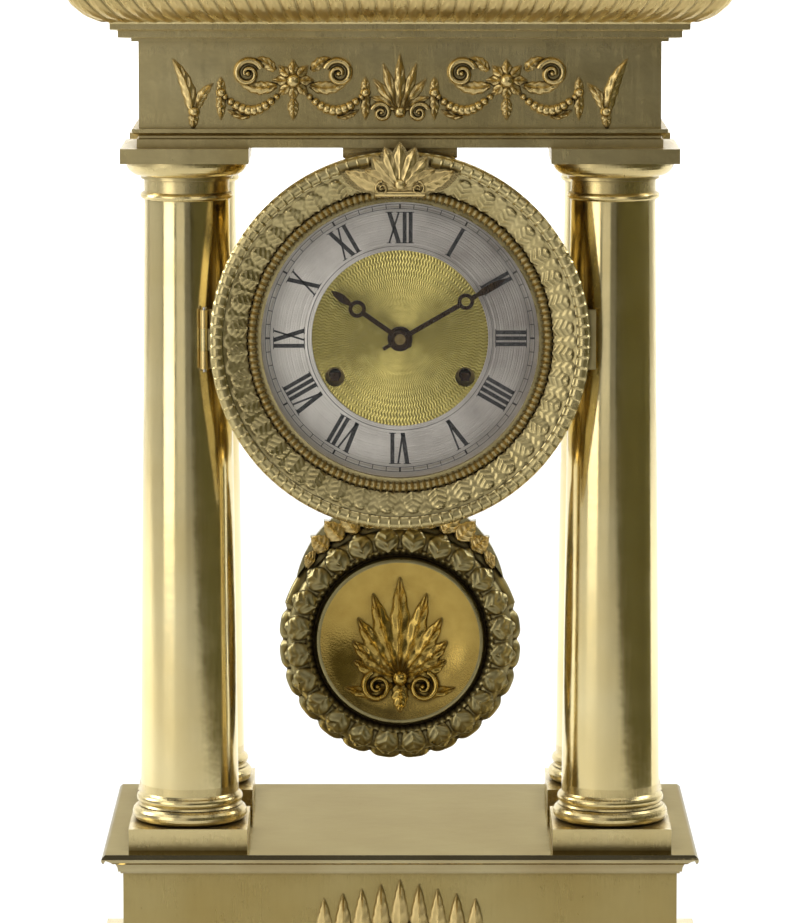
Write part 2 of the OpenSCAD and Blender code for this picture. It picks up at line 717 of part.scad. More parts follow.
// ---- Movement frame
module arbor_holes(y, len) {
    disc(0, y, dial_z, arbor_r + run_gap, len);
    for (s = [-1, 1]) disc(s * wind_x, y, dial_z + wind_z, square_r + run_gap, len);
    disc(0, y, pivot_z - escape_drop, arbor_r + run_gap, len);
}
module movement_front_plate() {
    color(brass) difference() {
        union() {
            disc(0, y_front, dial_z, mplate_r, mplate_t);
            disc(motion_x, y_front - 4.3, dial_z + motion_z, stud_r, 5);
        }
        arbor_holes(y_front - 1, mplate_t + 2);
        disc(0, y_front - 1, pivot_z, arbor_r + run_gap, mplate_t + 2);
        disc(hammer_x, y_front - 1, dial_z + hammer_z, arbor_r + run_gap, mplate_t + 2);
    }
}
module movement_back_plate() {
    color(brass) difference() {
        disc(0, y_rear, dial_z, mplate_r, mplate_t);
        arbor_holes(y_rear - 1, mplate_t + 2);
        disc(0, y_rear - 1, pivot_z, arbor_r + run_gap, mplate_t + 2);
        disc(hammer_x, y_rear - 1, dial_z + hammer_z, arbor_r + run_gap, mplate_t + 2);
    }
}
module movement_pillars() {
    r = mplate_r - 4;
    color(brass) for (a = [40, 125, 235, 305])
        disc(r * cos(a), y_pillar, dial_z + r * sin(a), 2.5, pillar_len);
}
// Straps that hold the movement between the dial plate and the rear rim
module movement_straps() {
    color(brass) for (s = [-1, 1])
        translate([s * (mplate_r + 2) - 1.9, y_feet, dial_z - 3])
            cube([3.8, y_rim - y_feet, 6]);
}
module suspension_cock() {
    color(brass) difference() {
        union() {
            translate([-6, y_behind, pivot_z + 2.2]) cube([12, y_pend - y_behind + 3, 6]);
            translate([-6, y_pend - 2.5, pivot_z + 0.3]) cube([12, 5.5, 4]);
        }
        translate([-10, y_pend, pivot_z + knob_rise]) rotate([0, 90, 0])
            cylinder(h = 20, r = arbor_r + run_gap);
    }
}

// ---- Going train, hands and motion work
module centre_wheel() {
    color(brass) union() {
        disc(0, y_seat - hands_front, dial_z, arbor_r, y_behind - y_seat + hands_front);
        crossed_wheel(0, y_rear - 5, dial_z, 14, 48, wheel_t, arbor_r);
    }
}
module cannon_pinion() {
    color(brass) union() {
        about_y(dial_z) translate([arbor_r, y_seat - 2.2])
            square([cannon_r - arbor_r, y_front - 0.3 - y_seat + 2.2]);
        wheel(0, y_front - 2, dial_z, pinion_r, 16, motion_t, arbor_r);
    }
}
module minute_wheel() {
    color(brass) union() {
        wheel(motion_x, y_front - 2, dial_z + motion_z, motion_r, 48, motion_t, stud_r + run_gap);
        wheel(motion_x, y_front - 4, dial_z + motion_z, hour_pinion_r, 12, 2, stud_r + run_gap);
    }
}
module hour_wheel() {
    color(brass) union() {
        wheel(0, y_front - 4, dial_z, hour_motion_r, 48, motion_t, pipe_in_r);
        about_y(dial_z) translate([pipe_in_r, y_seat - 0.3])
            square([pipe_wall, y_front - 4 + motion_t - y_seat + 0.3]);
    }
}
// A hand with a round eye, drawn pointing up
module hand(len, hub, eye, hole) {
    difference() {
        union() {
            circle(hub);
            translate([-0.9, 0]) square([1.8, len * 0.72]);
            translate([0, len * 0.62]) circle(eye);
            translate([0, len * 0.68]) leaf(len * 0.32, eye * 0.9);
            translate([-0.7, -len * 0.16]) square([1.4, len * 0.16]);
        }
        circle(hole);
        translate([0, len * 0.62]) circle(eye * 0.55);
    }
}
module minute_hand() {
    color(blued) on_front(y_seat - 1.3, dial_z, 0.7) rotate(-minute_a)
        hand(minute_len, 3.2, 3, cannon_r);
}
module hour_hand() {
    color(blued) on_front(y_seat + 0.5, dial_z, 0.7) rotate(-hour_a)
        hand(hour_len, 4.6, 3.2, pipe_r);
}

// ---- Barrels, escapement and strike
module barrel(x) {
    color(brass) union() {
        translate([x, y_pillar + 3, dial_z + wind_z]) rotate([-90, 0, 0]) linear_extrude(wheel_t)
            difference() {
                teeth(barrel_r, 60, tooth_h);
                circle(square_r + run_gap);
            }
        difference() {
            disc(x, y_pillar + 3 + wheel_t, dial_z + wind_z, barrel_r - tooth_h - 0.5, barrel_len);
            disc(x, y_pillar + 1, dial_z + wind_z, square_r + run_gap, barrel_len + 8);
        }
    }
}
module winding_arbor(x) {
    side = square_r * 1.4;
    color(steel) union() {
        disc(x, y_front - 0.5, dial_z + wind_z, square_r, y_behind - y_front + 0.5);
        translate([x - side / 2, y_ring + 0.3, dial_z + wind_z - side / 2])
            cube([side, y_front - y_ring, side]);
    }
}
module going_barrel() { barrel(wind_x); }
module going_arbor() { winding_arbor(wind_x); }
module strike_barrel() { barrel(-wind_x); }
module strike_arbor() { winding_arbor(-wind_x); }
module escape_wheel() {
    z = pivot_z - escape_drop;
    color(brass) union() {
        disc(0, y_front + 0.2, z, arbor_r, y_behind - y_front - 0.4);
        wheel(0, y_rear - 10, z, escape_r, 30, 1.2, arbor_r);
    }
}
// Anchor with its arbor, and the crutch that guides the pendulum rod
module anchor_crutch() {
    reach = escape_r + pallet_gap;
    fork_z = pivot_z - crutch_len;
    gap = pend_rod_d / 2 + run_gap;
    color(steel) union() {
        disc(0, y_front + 0.2, pivot_z, arbor_r, y_behind + 2.6 - y_front - 0.2);
        on_front(y_rear - 8.4, pivot_z, 1.6) difference() {
            union() {
                circle(3);
                translate([-reach, -7.5]) square([2 * reach, 7.5]);
            }
            translate([0, -escape_drop]) circle(reach);
            translate([-reach - 3, 0]) rotate(-38) translate([-6, 0]) square([12, 12]);
            translate([reach + 3, 0]) rotate(38) translate([-6, 0]) square([12, 12]);
        }
        translate([-1.2, y_behind + 1.4, fork_z]) cube([2.4, 1.2, crutch_len + 1.5]);
        translate([-gap - 1.2, y_behind + 1.4, fork_z]) cube([2 * gap + 2.4, 1.2, 3]);
        for (s = [-1, 1]) translate([s * (gap + 0.6) - 0.6, y_behind + 1.4, fork_z])
            cube([1.2, y_pend - y_behind, 3]);
    }
}
module bell() {
    color(brass) translate([0, bell_y, dial_z - 8]) rotate([-90, 0, 0]) rotate_extrude() polygon(concat(
        arc(0, 0, bell_r, 0, 62, 8), [[0, bell_r * 0.883], [0, bell_r * 0.883 - 1.5]],
        arc(0, 0, bell_r - 1.5, 62, 0, 8)));
}
module bell_stand() {
    w = 4;
    arm_t = 3;
    arm_y = bell_y - arm_t - 0.3;
    color(brass) union() {
        translate([20 - w / 2, y_behind, dial_z - 8 - w / 2]) cube([w, arm_y + arm_t - y_behind, w]);
        translate([-w / 2, arm_y, dial_z - 8 - w / 2]) cube([20 + w / 2, arm_t, w]);
        disc(0, arm_y + 1, dial_z - 8, 1.5, bell_y - arm_y + bell_r * 0.883 - 2.5);
    }
}
module hammer() {
    hx = -bell_r - hammer_off;
    hz = dial_z - 8;
    color(steel) union() {
        disc(hammer_x, y_front + 0.2, dial_z + hammer_z, arbor_r, bell_y + 3 - y_front - 0.2);
        translate([hammer_x, bell_y + 1, dial_z + hammer_z]) rotate([0, hammer_tilt, 0])
            translate([-0.8, 0, -hammer_len]) cube([1.6, 1.6, hammer_len]);
        disc(hx, bell_y + 0.4, hz, 3, 3);
    }
}

// ---- Pendulum
module pendulum_rod() {
    low = bob_z - bob_r * 0.8;
    color(brass) union() {
        translate([-spring_w / 2, y_pend - 0.15, pivot_z - 10]) cube([spring_w, 0.3, 10]);
        translate([-4, y_pend - 1.2, pivot_z - 14]) cube([8, 2.4, 5]);
        translate([0, y_pend, low]) cylinder(h = pivot_z - 10 - low, d = pend_rod_d);
    }
}
// Bob section: leafed outer ring, hollow and raised middle, from radius 0
function bob_profile() = concat(
    [[0, bob_t / 2 - 3], [bob_r * 0.6, bob_t / 2 - 1], [bob_r - 2.4, 1.8]],
    arc(bob_r - 1.8, 0, 1.8, 70, -70, 5),
    arc(bob_r - 7.5, -bob_t * 0.2, 4.8, -20, -160, 6),
    [[bob_r * 0.7, -3], [bob_r * 0.5, -2.2], [bob_r * 0.32, -2.6], [bob_r * 0.28, -4.2],
    [0, -5.6]]);
module pendulum_bob() {
    color(dull_gilt) difference() {
        translate([0, y_pend, 0]) about_y(bob_z) polygon(bob_profile());
        translate([0, y_pend, bob_z - bob_r * 0.8]) cylinder(h = 2 * bob_r, d = pend_rod_d);
    }
}
module bob_crest() {
    fan_n = 11;
    half = 55;
    fan_low = bob_r - crest_depth;
    fan_len = crest_depth + crest_rise;
    color(gilt) difference() {
        on_front(y_pend + 2, bob_z, 5) difference() {
            union() {
                for (i = [0:fan_n - 1]) translate([0, fan_low]) rotate(-half + 2 * half * i / (fan_n - 1))
                    leaf(fan_len, crest_leaf_w);
                intersection() {
                    translate([0, fan_low]) circle(fan_len - 1.5, $fn = 128);
                    translate([-fan_len, fan_low + 8]) square([2 * fan_len, fan_len]);
                }
            }
            circle(bob_r + 0.02, $fn = 128);
        }
        translate([0, y_pend, bob_z]) cylinder(h = 2 * bob_r, d = pend_rod_d);
    }
}
// Knob on the arbor that winds the suspension up or down
module suspension_knob() {
    color(brass) translate([0, y_pend, pivot_z + knob_rise]) rotate([0, 90, 0]) union() {
        translate([0, 0, -7]) cylinder(h = 14.5, r = arbor_r);
        translate([0, 0, 6.3]) cylinder(h = 2, r = 3);
    }
}

feet();
foot_moulding_faces();
foot_moulding_ends();
base_face_panels();
base_end_panels();
base_top_plate();
base_front_mount();
tie_rods();
tie_rod_nuts();
column_bases();
column_shaft_front_left();
column_shaft_front_right();
column_shaft_rear_left();
column_shaft_rear_right();
column_capitals();
architrave();
frieze_faces();
frieze_ends();
cornice_faces();
cornice_ends();
top_slab();
frieze_mount();
drum_top_mount();
drum_bolts();
drum_shell();
bezel_seat();
dial_plate();
chapter_ring();
dial_feet();
bezel();
bezel_crest();
bezel_glass();
bezel_hinge_pin();
rear_rim();
rear_door();
rear_hinge_pin();
movement_front_plate();
movement_back_plate();
movement_pillars();
movement_straps();
suspension_cock();
centre_wheel();
cannon_pinion();
minute_hand();
minute_wheel();
hour_wheel();
hour_hand();
going_barrel();
going_arbor();
strike_barrel();
strike_arbor();
escape_wheel();
anchor_crutch();
pendulum_rod();
pendulum_bob();
bob_crest();
suspension_knob();
bell();
bell_stand();
hammer();
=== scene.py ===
# %% [markdown]
# # Portico mantel clock
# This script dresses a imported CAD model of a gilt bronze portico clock.
# The CAD model gives every part its place and its motion, and this script gives it its look:
# finishes for the plain turned parts, and modelled ornament for the chased ones.
# The finishes come first, then the ornament piece by piece, then the studio.

# %% Load the frame
import json
from math import cos, exp, hypot, pi, radians, sin, sqrt, tan

import bmesh
import bpy
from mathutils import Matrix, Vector


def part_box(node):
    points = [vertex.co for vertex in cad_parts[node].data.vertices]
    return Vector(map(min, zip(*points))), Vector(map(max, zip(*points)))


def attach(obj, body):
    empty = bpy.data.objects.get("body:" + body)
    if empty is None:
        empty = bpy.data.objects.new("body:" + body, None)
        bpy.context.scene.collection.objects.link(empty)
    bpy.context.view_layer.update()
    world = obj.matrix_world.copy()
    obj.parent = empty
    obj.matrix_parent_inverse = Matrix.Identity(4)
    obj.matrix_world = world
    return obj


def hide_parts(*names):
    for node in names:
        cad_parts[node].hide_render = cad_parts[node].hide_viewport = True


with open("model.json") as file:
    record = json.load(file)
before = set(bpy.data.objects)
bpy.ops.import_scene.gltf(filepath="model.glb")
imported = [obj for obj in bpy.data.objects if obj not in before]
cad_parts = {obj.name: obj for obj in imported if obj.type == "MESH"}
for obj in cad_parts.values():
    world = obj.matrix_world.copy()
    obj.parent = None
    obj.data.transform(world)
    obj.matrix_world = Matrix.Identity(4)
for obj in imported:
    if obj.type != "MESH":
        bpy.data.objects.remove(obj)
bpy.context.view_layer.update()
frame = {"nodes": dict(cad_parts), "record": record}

NODES = frame["nodes"]


# %% [markdown]
# ## Millimetres
# Lengths below are in millimetres, as a clockmaker has them, and become metres only for Blender.
# The places of the ornament are read from the CAD nodes that carry it, so that it stays
# on them if the clock's proportions change.

# %% Millimetres
MM = 0.001
PER_METRE = 1000.0


def box_mm(node):
    """Lowest and highest corner of a CAD node, in millimetres."""
    low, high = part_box(node)
    return [c / MM for c in low], [c / MM for c in high]


print("top of the clock", round(box_mm("top_slab")[1][2], 1))


# %% [markdown]
# ## Shader sums
# A gilt surface is described by sums of noise, waves and wear. In Blender's shader editor such
# a sum is a web of Math nodes. It is easier to read as Python, so this class wraps the output of
# a node, and each operator on it adds the Math node that it stands for.
# The reflected forms let a plain number come first, as in 1 - mask.

# %% A wire that can be added and multiplied
def feed(tree, socket, value):
    """Links a Wire into a socket, or sets the socket's own value."""
    if isinstance(value, Wire):
        tree.links.new(value.socket, socket)
    else:
        socket.default_value = value


class Wire:
    """The output of a shader node, usable in sums."""

    def __init__(self, tree, socket):
        self.tree = tree
        self.socket = socket

    def maths(self, operation, *terms):
        node = self.tree.nodes.new("ShaderNodeMath")
        node.operation = operation
        for socket, term in zip(node.inputs, terms):
            feed(self.tree, socket, term)
        return Wire(self.tree, node.outputs[0])

    def __add__(self, other):
        return self.maths("ADD", self, other)

    def __radd__(self, other):
        return self.maths("ADD", other, self)

    def __sub__(self, other):
        return self.maths("SUBTRACT", self, other)

    def __rsub__(self, other):
        return self.maths("SUBTRACT", other, self)

    def __mul__(self, other):
        return self.maths("MULTIPLY", self, other)

    def __rmul__(self, other):
        return self.maths("MULTIPLY", other, self)

    def __truediv__(self, other):
        return self.maths("DIVIDE", self, other)

    def __pow__(self, other):
        return self.maths("POWER", self, other)

    def sine(self):
        return self.maths("SINE", self)

    def inside(self):
        """The value held between 0 and 1."""
        return self.maths("MINIMUM", self.maths("MAXIMUM", self, 0.0), 1.0)


print("wires ready")


# %% [markdown]
# ## What every finish is made with
# Each finish is one Principled shader, fed by patterns in object coordinates, which keep a pattern
# fixed to the metal and at its real scale. One method makes any node: its kind, its settings, then
# the values or wires of its sockets. The methods after it are the patterns that the finishes share:
# noise, a mix of two colours, the hollows, where dirt and painted shade go, and heights that tilt the light.

# %% A finish and its patterns
MIX_FACTOR, MIX_FIRST, MIX_SECOND, MIX_COLOUR = 0, 6, 7, 2


class Finish:
    """A procedural material for one of the clock's finishes."""

    def __init__(self, name, **constants):
        self.material = bpy.data.materials.new(name)
        self.material.use_nodes = True
        self.tree = self.material.node_tree
        self.shader = self.tree.nodes["Principled BSDF"]
        self.set(**constants)

    def set(self, **values):
        """Sets or links the shader's own sockets, with _ for a space in their names."""
        for name, value in values.items():
            feed(self.tree, self.shader.inputs[name.replace("_", " ")], value)

    def node(self, kind, settings, sockets, out=0):
        """Makes any node: its settings first, then its sockets, by name or number."""
        made = self.tree.nodes.new(kind)
        for name, value in settings.items():
            setattr(made, name, value)
        for key, value in sockets.items():
            feed(self.tree, made.inputs[key], value)
        return Wire(self.tree, made.outputs[out])

    def place(self):
        """Object coordinates, in metres."""
        return self.node("ShaderNodeTexCoord", {}, {}, "Object")

    def parts(self):
        """The x, y and z of a point, in millimetres."""
        place = self.place()
        return [self.node("ShaderNodeSeparateXYZ", {}, {0: place}, axis) * PER_METRE for axis in range(3)]

    def stretched(self, x, y, z):
        """Object coordinates multiplied by a vector."""
        return self.node("ShaderNodeVectorMath", {"operation": "MULTIPLY"}, {0: self.place(), 1: (x, y, z)})

    def noise(self, scale, detail=3.0, roughness=0.55, place=None):
        """Noise between 0 and 1. The scale is in features to the metre."""
        return self.node("ShaderNodeTexNoise", {}, {
            "Vector": place or self.place(), "Scale": scale, "Detail": detail, "Roughness": roughness})

    def mix(self, factor, first, second):
        """A colour between two colours, each a wire or red, green and blue."""
        first, second = ((*c, 1.0) if isinstance(c, tuple) else c for c in (first, second))
        return self.node("ShaderNodeMix", {"data_type": "RGBA"},
                         {MIX_FACTOR: factor, MIX_FIRST: first, MIX_SECOND: second}, MIX_COLOUR)

    def hollows(self, reach):
        """1 on open surfaces and 0 in hollows narrower than reach millimetres."""
        return self.node("ShaderNodeAmbientOcclusion", {"samples": 8}, {"Distance": reach * MM}, "AO")

    def bump(self, height, millimetres, strength=1.0):
        """Normals of a surface raised by height times so many millimetres."""
        return self.node("ShaderNodeBump", {}, {
            "Height": height, "Distance": millimetres * MM, "Strength": strength})


print("finish helpers ready")


# %% [markdown]
# ## Burnished gilt
# The case is cast bronze, gilded with mercury and then either burnished bright or left matt.
# Burnished parts reflect like a soft mirror, with faint waves, hairline scratches and finger marks.
# A single gold colour would look like plastic, so the colour drifts between a greener and a warmer
# gold, and the hollows are painted darker and browner, as dust and as painted shade. On the base plate,
# which is seen at a low angle, the tint of the mirror at grazing angles is darkened too.

# %% Burnished gilt
CORNER_DUST_AND_SHADE = (0.10, 0.065, 0.022)
ALONG_THE_PART = (1.0, 1.0, 0.06)


def polished_gilt(name, light, warm, shine, wave=0.05, dirt_and_shade=0.55, grazing=None):
    """Burnished gold. shine is its roughness, and wave is how uneven the metal is."""
    finish = Finish(name, Metallic=1.0)
    drift = finish.noise(28.0, 2.0)
    tint = finish.mix((drift * 1.8 - 0.4).inside(), light, warm)
    open_surface = finish.hollows(7.0)
    # Dust and painted shade: the hollows are painted dark brown, and made a little rougher.
    dirt_and_painted_shade = ((1.0 - open_surface) * (0.6 + finish.noise(420.0) * 0.9) * dirt_and_shade).inside()
    finish.set(Base_Color=finish.mix(dirt_and_painted_shade, tint, CORNER_DUST_AND_SHADE))
    hairs = finish.noise(900.0, 2.0, place=finish.stretched(*ALONG_THE_PART))
    smears = finish.noise(75.0, 4.0, 0.6)
    finish.set(Roughness=(shine + (smears - 0.5) * 0.16 + (hairs - 0.5) * 0.10 + dirt_and_painted_shade * 0.25).inside())
    rise = finish.noise(160.0, 2.0) * wave + hairs * 0.0035
    finish.set(Normal=finish.bump(rise, 1.0, 0.7))
    if grazing:
        finish.set(Specular_Tint=(*grazing, 1.0))
    return finish.material


POLISHED = polished_gilt("polished_gilt", (0.80, 0.685, 0.375), (0.72, 0.575, 0.26), shine=0.15)
PLATED = polished_gilt("base_gilt", (0.72, 0.60, 0.31), (0.60, 0.47, 0.20), shine=0.24, wave=0.08, dirt_and_shade=0.75)
PANEL = polished_gilt("panel_gilt", (0.42, 0.335, 0.14), (0.355, 0.265, 0.092),
                      shine=0.25, wave=0.08, dirt_and_shade=0.8)
DECK = polished_gilt("deck_gilt", (0.50, 0.43, 0.24), (0.38, 0.30, 0.15),
                     shine=0.07, wave=0.10, dirt_and_shade=0.8, grazing=(0.52, 0.48, 0.38))
BRASS = polished_gilt("movement_brass", (0.74, 0.58, 0.26), (0.62, 0.45, 0.18),
                      shine=0.26, wave=0.03, dirt_and_shade=0.7)
print("burnished finishes", len(bpy.data.materials))


# %% [markdown]
# ## Chased gilt
# Ornament is cast, cleaned with small punches and burnished on its high points only.
# The ground between stays matt and collects dark dirt, and it also lies in shade; both are painted
# into its colour, which is what makes the pattern read. Three things make this finish: pointiness
# brightens the worn edges, the hollows are painted dark with old dirt and painted shade, and a fine
# cell pattern stands for the marks of the punches.

# %% Chased and toned gilt
OLD_DIRT_AND_SHADE = (0.055, 0.036, 0.014)
PUNCHES_TO_THE_METRE = 1500.0
PUNCH_DEPTH = 0.05


def chased_gilt(name, high, low, dirt_and_shade=0.85, reach=2.2, rough=0.34):
    """Chased ornament: high is the burnished colour and low the matt one."""
    finish = Finish(name, Metallic=1.0)
    open_air = finish.hollows(reach)
    worn = finish.node("ShaderNodeNewGeometry", {}, {}, "Pointiness")
    edge = ((worn - 0.5) * 9.0 + 0.25).inside()
    blotch = finish.noise(140.0, 4.0)
    ground = finish.mix((blotch * 1.6 - 0.3).inside(), low, high)
    ground = finish.mix(edge * 0.55, ground, tuple(min(1.0, c * 1.25) for c in high))
    # Dirt and painted shade: the hollows are painted towards a near-black brown.
    dirt_and_painted_shade = ((1.0 - open_air) * (0.7 + blotch * 0.8) * dirt_and_shade * 1.5).inside()
    finish.set(Base_Color=finish.mix(dirt_and_painted_shade, ground, OLD_DIRT_AND_SHADE))
    finish.set(Roughness=(rough + dirt_and_painted_shade * 0.35 - edge * 0.12 + (blotch - 0.5) * 0.2).inside())
    punches = finish.node("ShaderNodeTexVoronoi", {},
                          {"Vector": finish.place(), "Scale": PUNCHES_TO_THE_METRE})
    finish.set(Normal=finish.bump(punches * PUNCH_DEPTH + blotch * 0.12, 1.0, 0.5))
    return finish.material


CAST = chased_gilt("cast_gilt", (0.66, 0.51, 0.23), (0.43, 0.32, 0.12))
TONED = chased_gilt("dull_gilt", (0.32, 0.275, 0.13), (0.175, 0.14, 0.06),
                    dirt_and_shade=0.95, reach=2.6, rough=0.36)
LEAFED = chased_gilt("bezel_gilt", (0.55, 0.46, 0.23), (0.33, 0.26, 0.105), dirt_and_shade=0.95, reach=1.8)
DISHED = chased_gilt("bob_dish_gilt", (0.46, 0.325, 0.085), (0.28, 0.18, 0.04),
                     dirt_and_shade=0.8, reach=4.0, rough=0.23)
print("chased finishes ready, materials", len(bpy.data.materials))


# %% [markdown]
# ## Round the dial
# Both dial finishes run round the centre of the dial, so they need the distance from that centre
# and the angle round it. A texture image could hold them, but two short sums do it exactly.
# The angle is 0 at twelve o'clock, as the hands count it.

# %% Distance and angle round the dial
dial_low, dial_high = box_mm("dial_plate")
DIAL_Z = (dial_low[2] + dial_high[2]) / 2


def round_the_dial(finish):
    """Distance in millimetres from the dial centre, and angle round it in radians."""
    x, y, z = finish.parts()
    up = z - DIAL_Z
    return (x * x + up * up) ** 0.5, x.maths("ARCTAN2", x, up)


print("dial centre height", round(DIAL_Z, 2))


# %% [markdown]
# ## Engine-turned centre
# The gilt centre was cut on a rose engine, which leaves waved rays that flash in the light.
# The rays are too fine to model, so they are heights in a bump: a sine of the angle, bent by a sine
# of the distance. Such metal flashes above and below the centre and stays dark at the sides, and that
# flash is painted into the colour: a painted reflection, lighter gold above and below, darker at the sides.

# %% Engine-turned gilt
RAYS = 160.0
RAYS_RADIUS = 25.0


def engine_turned(name):
    finish = Finish(name, Metallic=1.0)
    distance, angle = round_the_dial(finish)
    rays = (angle * RAYS + (distance * 2.6).sine() * 1.2).sine() * distance / RAYS_RADIUS
    cuts = (distance * 9.0).sine()
    spots = finish.noise(260.0, 4.0)
    # Painted reflection: the gold is painted lighter above and below the centre and darker at the sides.
    painted_flash = ((angle * 2.0 + pi / 2).sine() * 0.5 + spots * 1.2 - 0.15).inside()
    finish.set(Base_Color=finish.mix(painted_flash, (0.31, 0.255, 0.070), (0.65, 0.54, 0.17)))
    finish.set(Roughness=0.27 + spots * 0.10)
    finish.set(Normal=finish.bump(rays * 0.070 + cuts * 0.004 + spots * 0.004, 1.0, 1.0))
    return finish.material


DIAL = engine_turned("dial_gilt")
print("rays", int(RAYS))


# %% [markdown]
# ## Silvered chapter ring
# The chapter ring is brass rubbed with silver salts and brushed round and round.
# Noise in the distance alone gives the round brush marks, and a haze of noise dulls it in patches.
# The ring is also painted bright at the left and below and greyer at the right and above: painted light and
# shade.

# %% Silvered brass
PAINTED_SHADE_TURN = 3.49


def silvered(name):
    finish = Finish(name, Metallic=1.0)
    distance, angle = round_the_dial(finish)
    grain = finish.node("ShaderNodeTexNoise", {"noise_dimensions": "1D"},
                        {"W": distance * 0.25, "Scale": 6.0, "Detail": 4.0})
    haze = finish.noise(60.0, 5.0, 0.6)
    # Painted light and shade: brighter at the left and below, greyer at the right and above.
    painted_side_shade = 0.5 - (angle + PAINTED_SHADE_TURN).sine() * 0.5
    haze_and_painted_shade = (haze * 1.1 - 0.5 + painted_side_shade * 0.75).inside()
    finish.set(Base_Color=finish.mix(haze_and_painted_shade, (0.80, 0.755, 0.69), (0.33, 0.295, 0.265)))
    finish.set(Roughness=0.36 + haze * 0.18)
    finish.set(Normal=finish.bump(grain * 0.24 + haze * 0.02, 1.0, 1.0))
    return finish.material


SILVER = silvered("silvered")
print("silvered ring", SILVER.name)


# %% [markdown]
# ## Wax and steel
# The numerals are engraved and filled with black wax, which has worn grey in specks.
# The hands, arbors and small movement parts are steel, drawn lengthways and tempered, so fine lines
# run along them and the colour is uneven where the oxide is thicker.

# %% Black wax and tempered steel
def black_wax(name):
    finish = Finish(name, Metallic=0.0)
    wear = finish.noise(1300.0, 3.0)
    finish.set(Base_Color=finish.mix((wear * 2.2 - 0.9).inside(), (0.012, 0.011, 0.012), (0.10, 0.09, 0.085)))
    finish.set(Roughness=0.42 + wear * 0.2)
    finish.set(Normal=finish.bump(wear, 0.03))
    return finish.material


def tempered_steel(name, base, other, rough):
    finish = Finish(name, Metallic=1.0)
    oxide = finish.noise(240.0, 4.0)
    lines = finish.noise(2400.0, 2.0, place=finish.stretched(1.0, 1.0, 0.12))
    finish.set(Base_Color=finish.mix((oxide * 2.0 - 0.5).inside(), base, other))
    finish.set(Roughness=(rough + (lines - 0.5) * 0.18 + (oxide - 0.5) * 0.12).inside())
    finish.set(Normal=finish.bump(lines * 0.01 + oxide * 0.01, 1.0, 0.6))
    return finish.material


WAX = black_wax("numeral_wax")
BROWNED_AND_HOLE_SHADE = tempered_steel("blued_steel", (0.085, 0.050, 0.022), (0.040, 0.028, 0.030), 0.30)
STEEL = tempered_steel("movement_steel", (0.47, 0.46, 0.45), (0.36, 0.34, 0.31), 0.28)
print("wax and steels", WAX.name, BROWNED_AND_HOLE_SHADE.name, STEEL.name)


# %% [markdown]
# ## Glass
# The bezel holds thin flat glass, nearly invisible from the front.
# Real refraction would cost time and change nothing seen through flat glass, so the pane is made
# see-through by its alpha, with dust that dulls it in patches.

# %% Bezel glass
def window_glass(name):
    finish = Finish(name, Metallic=0.0, Base_Color=(0.30, 0.32, 0.31, 1.0))
    dust = finish.noise(55.0, 5.0, 0.6)
    finish.set(Roughness=0.02 + dust * 0.05)
    finish.set(Alpha=0.015 + dust * 0.03)
    finish.set(Normal=finish.bump(dust, 0.02))
    return finish.material


GLASS = window_glass("glass")
print("materials", [m.name for m in bpy.data.materials])


# %% [markdown]
# ## CAD nodes that keep their shape
# Turned and sawn parts already have the right shape, so they stay and only take a finish.
# The record names a material slot for each node, and each slot has its finish here.
# Where a slot is too broad, as for the base plate or the bezel, a node takes a finish of its own.

# %% Dress the CAD nodes
SLOT_FINISH = {
    "polished_gilt": POLISHED, "cast_gilt": CAST, "dull_gilt": TONED, "dial_gilt": DIAL,
    "silvered": SILVER, "movement_brass": BRASS, "movement_steel": STEEL,
    "blued_steel": BROWNED_AND_HOLE_SHADE, "glass": GLASS,
}
OWN_FINISH = (
    (DECK, "base_top_plate"),
    (PANEL, "base_face_panels base_end_panels"),
    (PLATED, "foot_moulding_faces foot_moulding_ends feet frieze_faces frieze_ends architrave top_slab "
             "cornice_faces cornice_ends column_capitals column_bases"),
    (LEAFED, "bezel"),
    (TONED, "pendulum_bob bob_crest"),
    # Painted shade: the winding arbors take the dark steel of the hands, so the winding holes read dark.
    (BROWNED_AND_HOLE_SHADE, "going_arbor strike_arbor"),
)
own = {node: finish for finish, nodes in OWN_FINISH for node in nodes.split()}
slots = {part["node"]: part["material_slot"] for part in frame["record"]["subparts"]}
for name, thing in NODES.items():
    finish = own.get(name) or SLOT_FINISH.get(slots.get(name)) or POLISHED
    if not thing.data.materials:
        thing.data.materials.append(finish)
    for slot in thing.material_slots:
        slot.material = finish
print("dressed", len(NODES), "slots", sorted(set(slots.values())))


# %% [markdown]
# ## Making a mesh piece
# Every ornament below is worked out as a list of points in millimetres and a list of faces.

# %% From points to a piece
WELD = 1e-6


def in_scene(name, data):
    """A new object in the scene."""
    made = bpy.data.objects.new(name, data)
    bpy.context.scene.collection.objects.link(made)
    return made


def clock_piece(name, shape, finish, body="case", crease=40):
    """A piece of the clock from its shape, a pair of points and faces."""
    points, faces = shape
    data = bpy.data.meshes.new(name)
    data.from_pydata([(x * MM, y * MM, z * MM) for x, y, z in points], [], faces)
    mesh = bmesh.new()
    mesh.from_mesh(data)
    bmesh.ops.remove_doubles(mesh, verts=mesh.verts, dist=WELD)
    bmesh.ops.recalc_face_normals(mesh, faces=mesh.faces)
    mesh.to_mesh(data)
    mesh.free()
    for face in data.polygons:
        face.use_smooth = True
    data.set_sharp_from_angle(angle=radians(crease))
    data.materials.append(finish)
    made = in_scene(name, data)
    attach(made, body)
    print(name, "faces", len(data.polygons))
    return made


# %% [markdown]
# ## A mount on its panel
# The clock's mounts are cast by themselves and pinned to a flat panel. A Relief is such a plane:
# u runs across, v runs up, and h stands out towards the viewer. The forms that follow are added to
# it one by one, and each is closed by a flat back, so that the finished mesh has a true thickness.

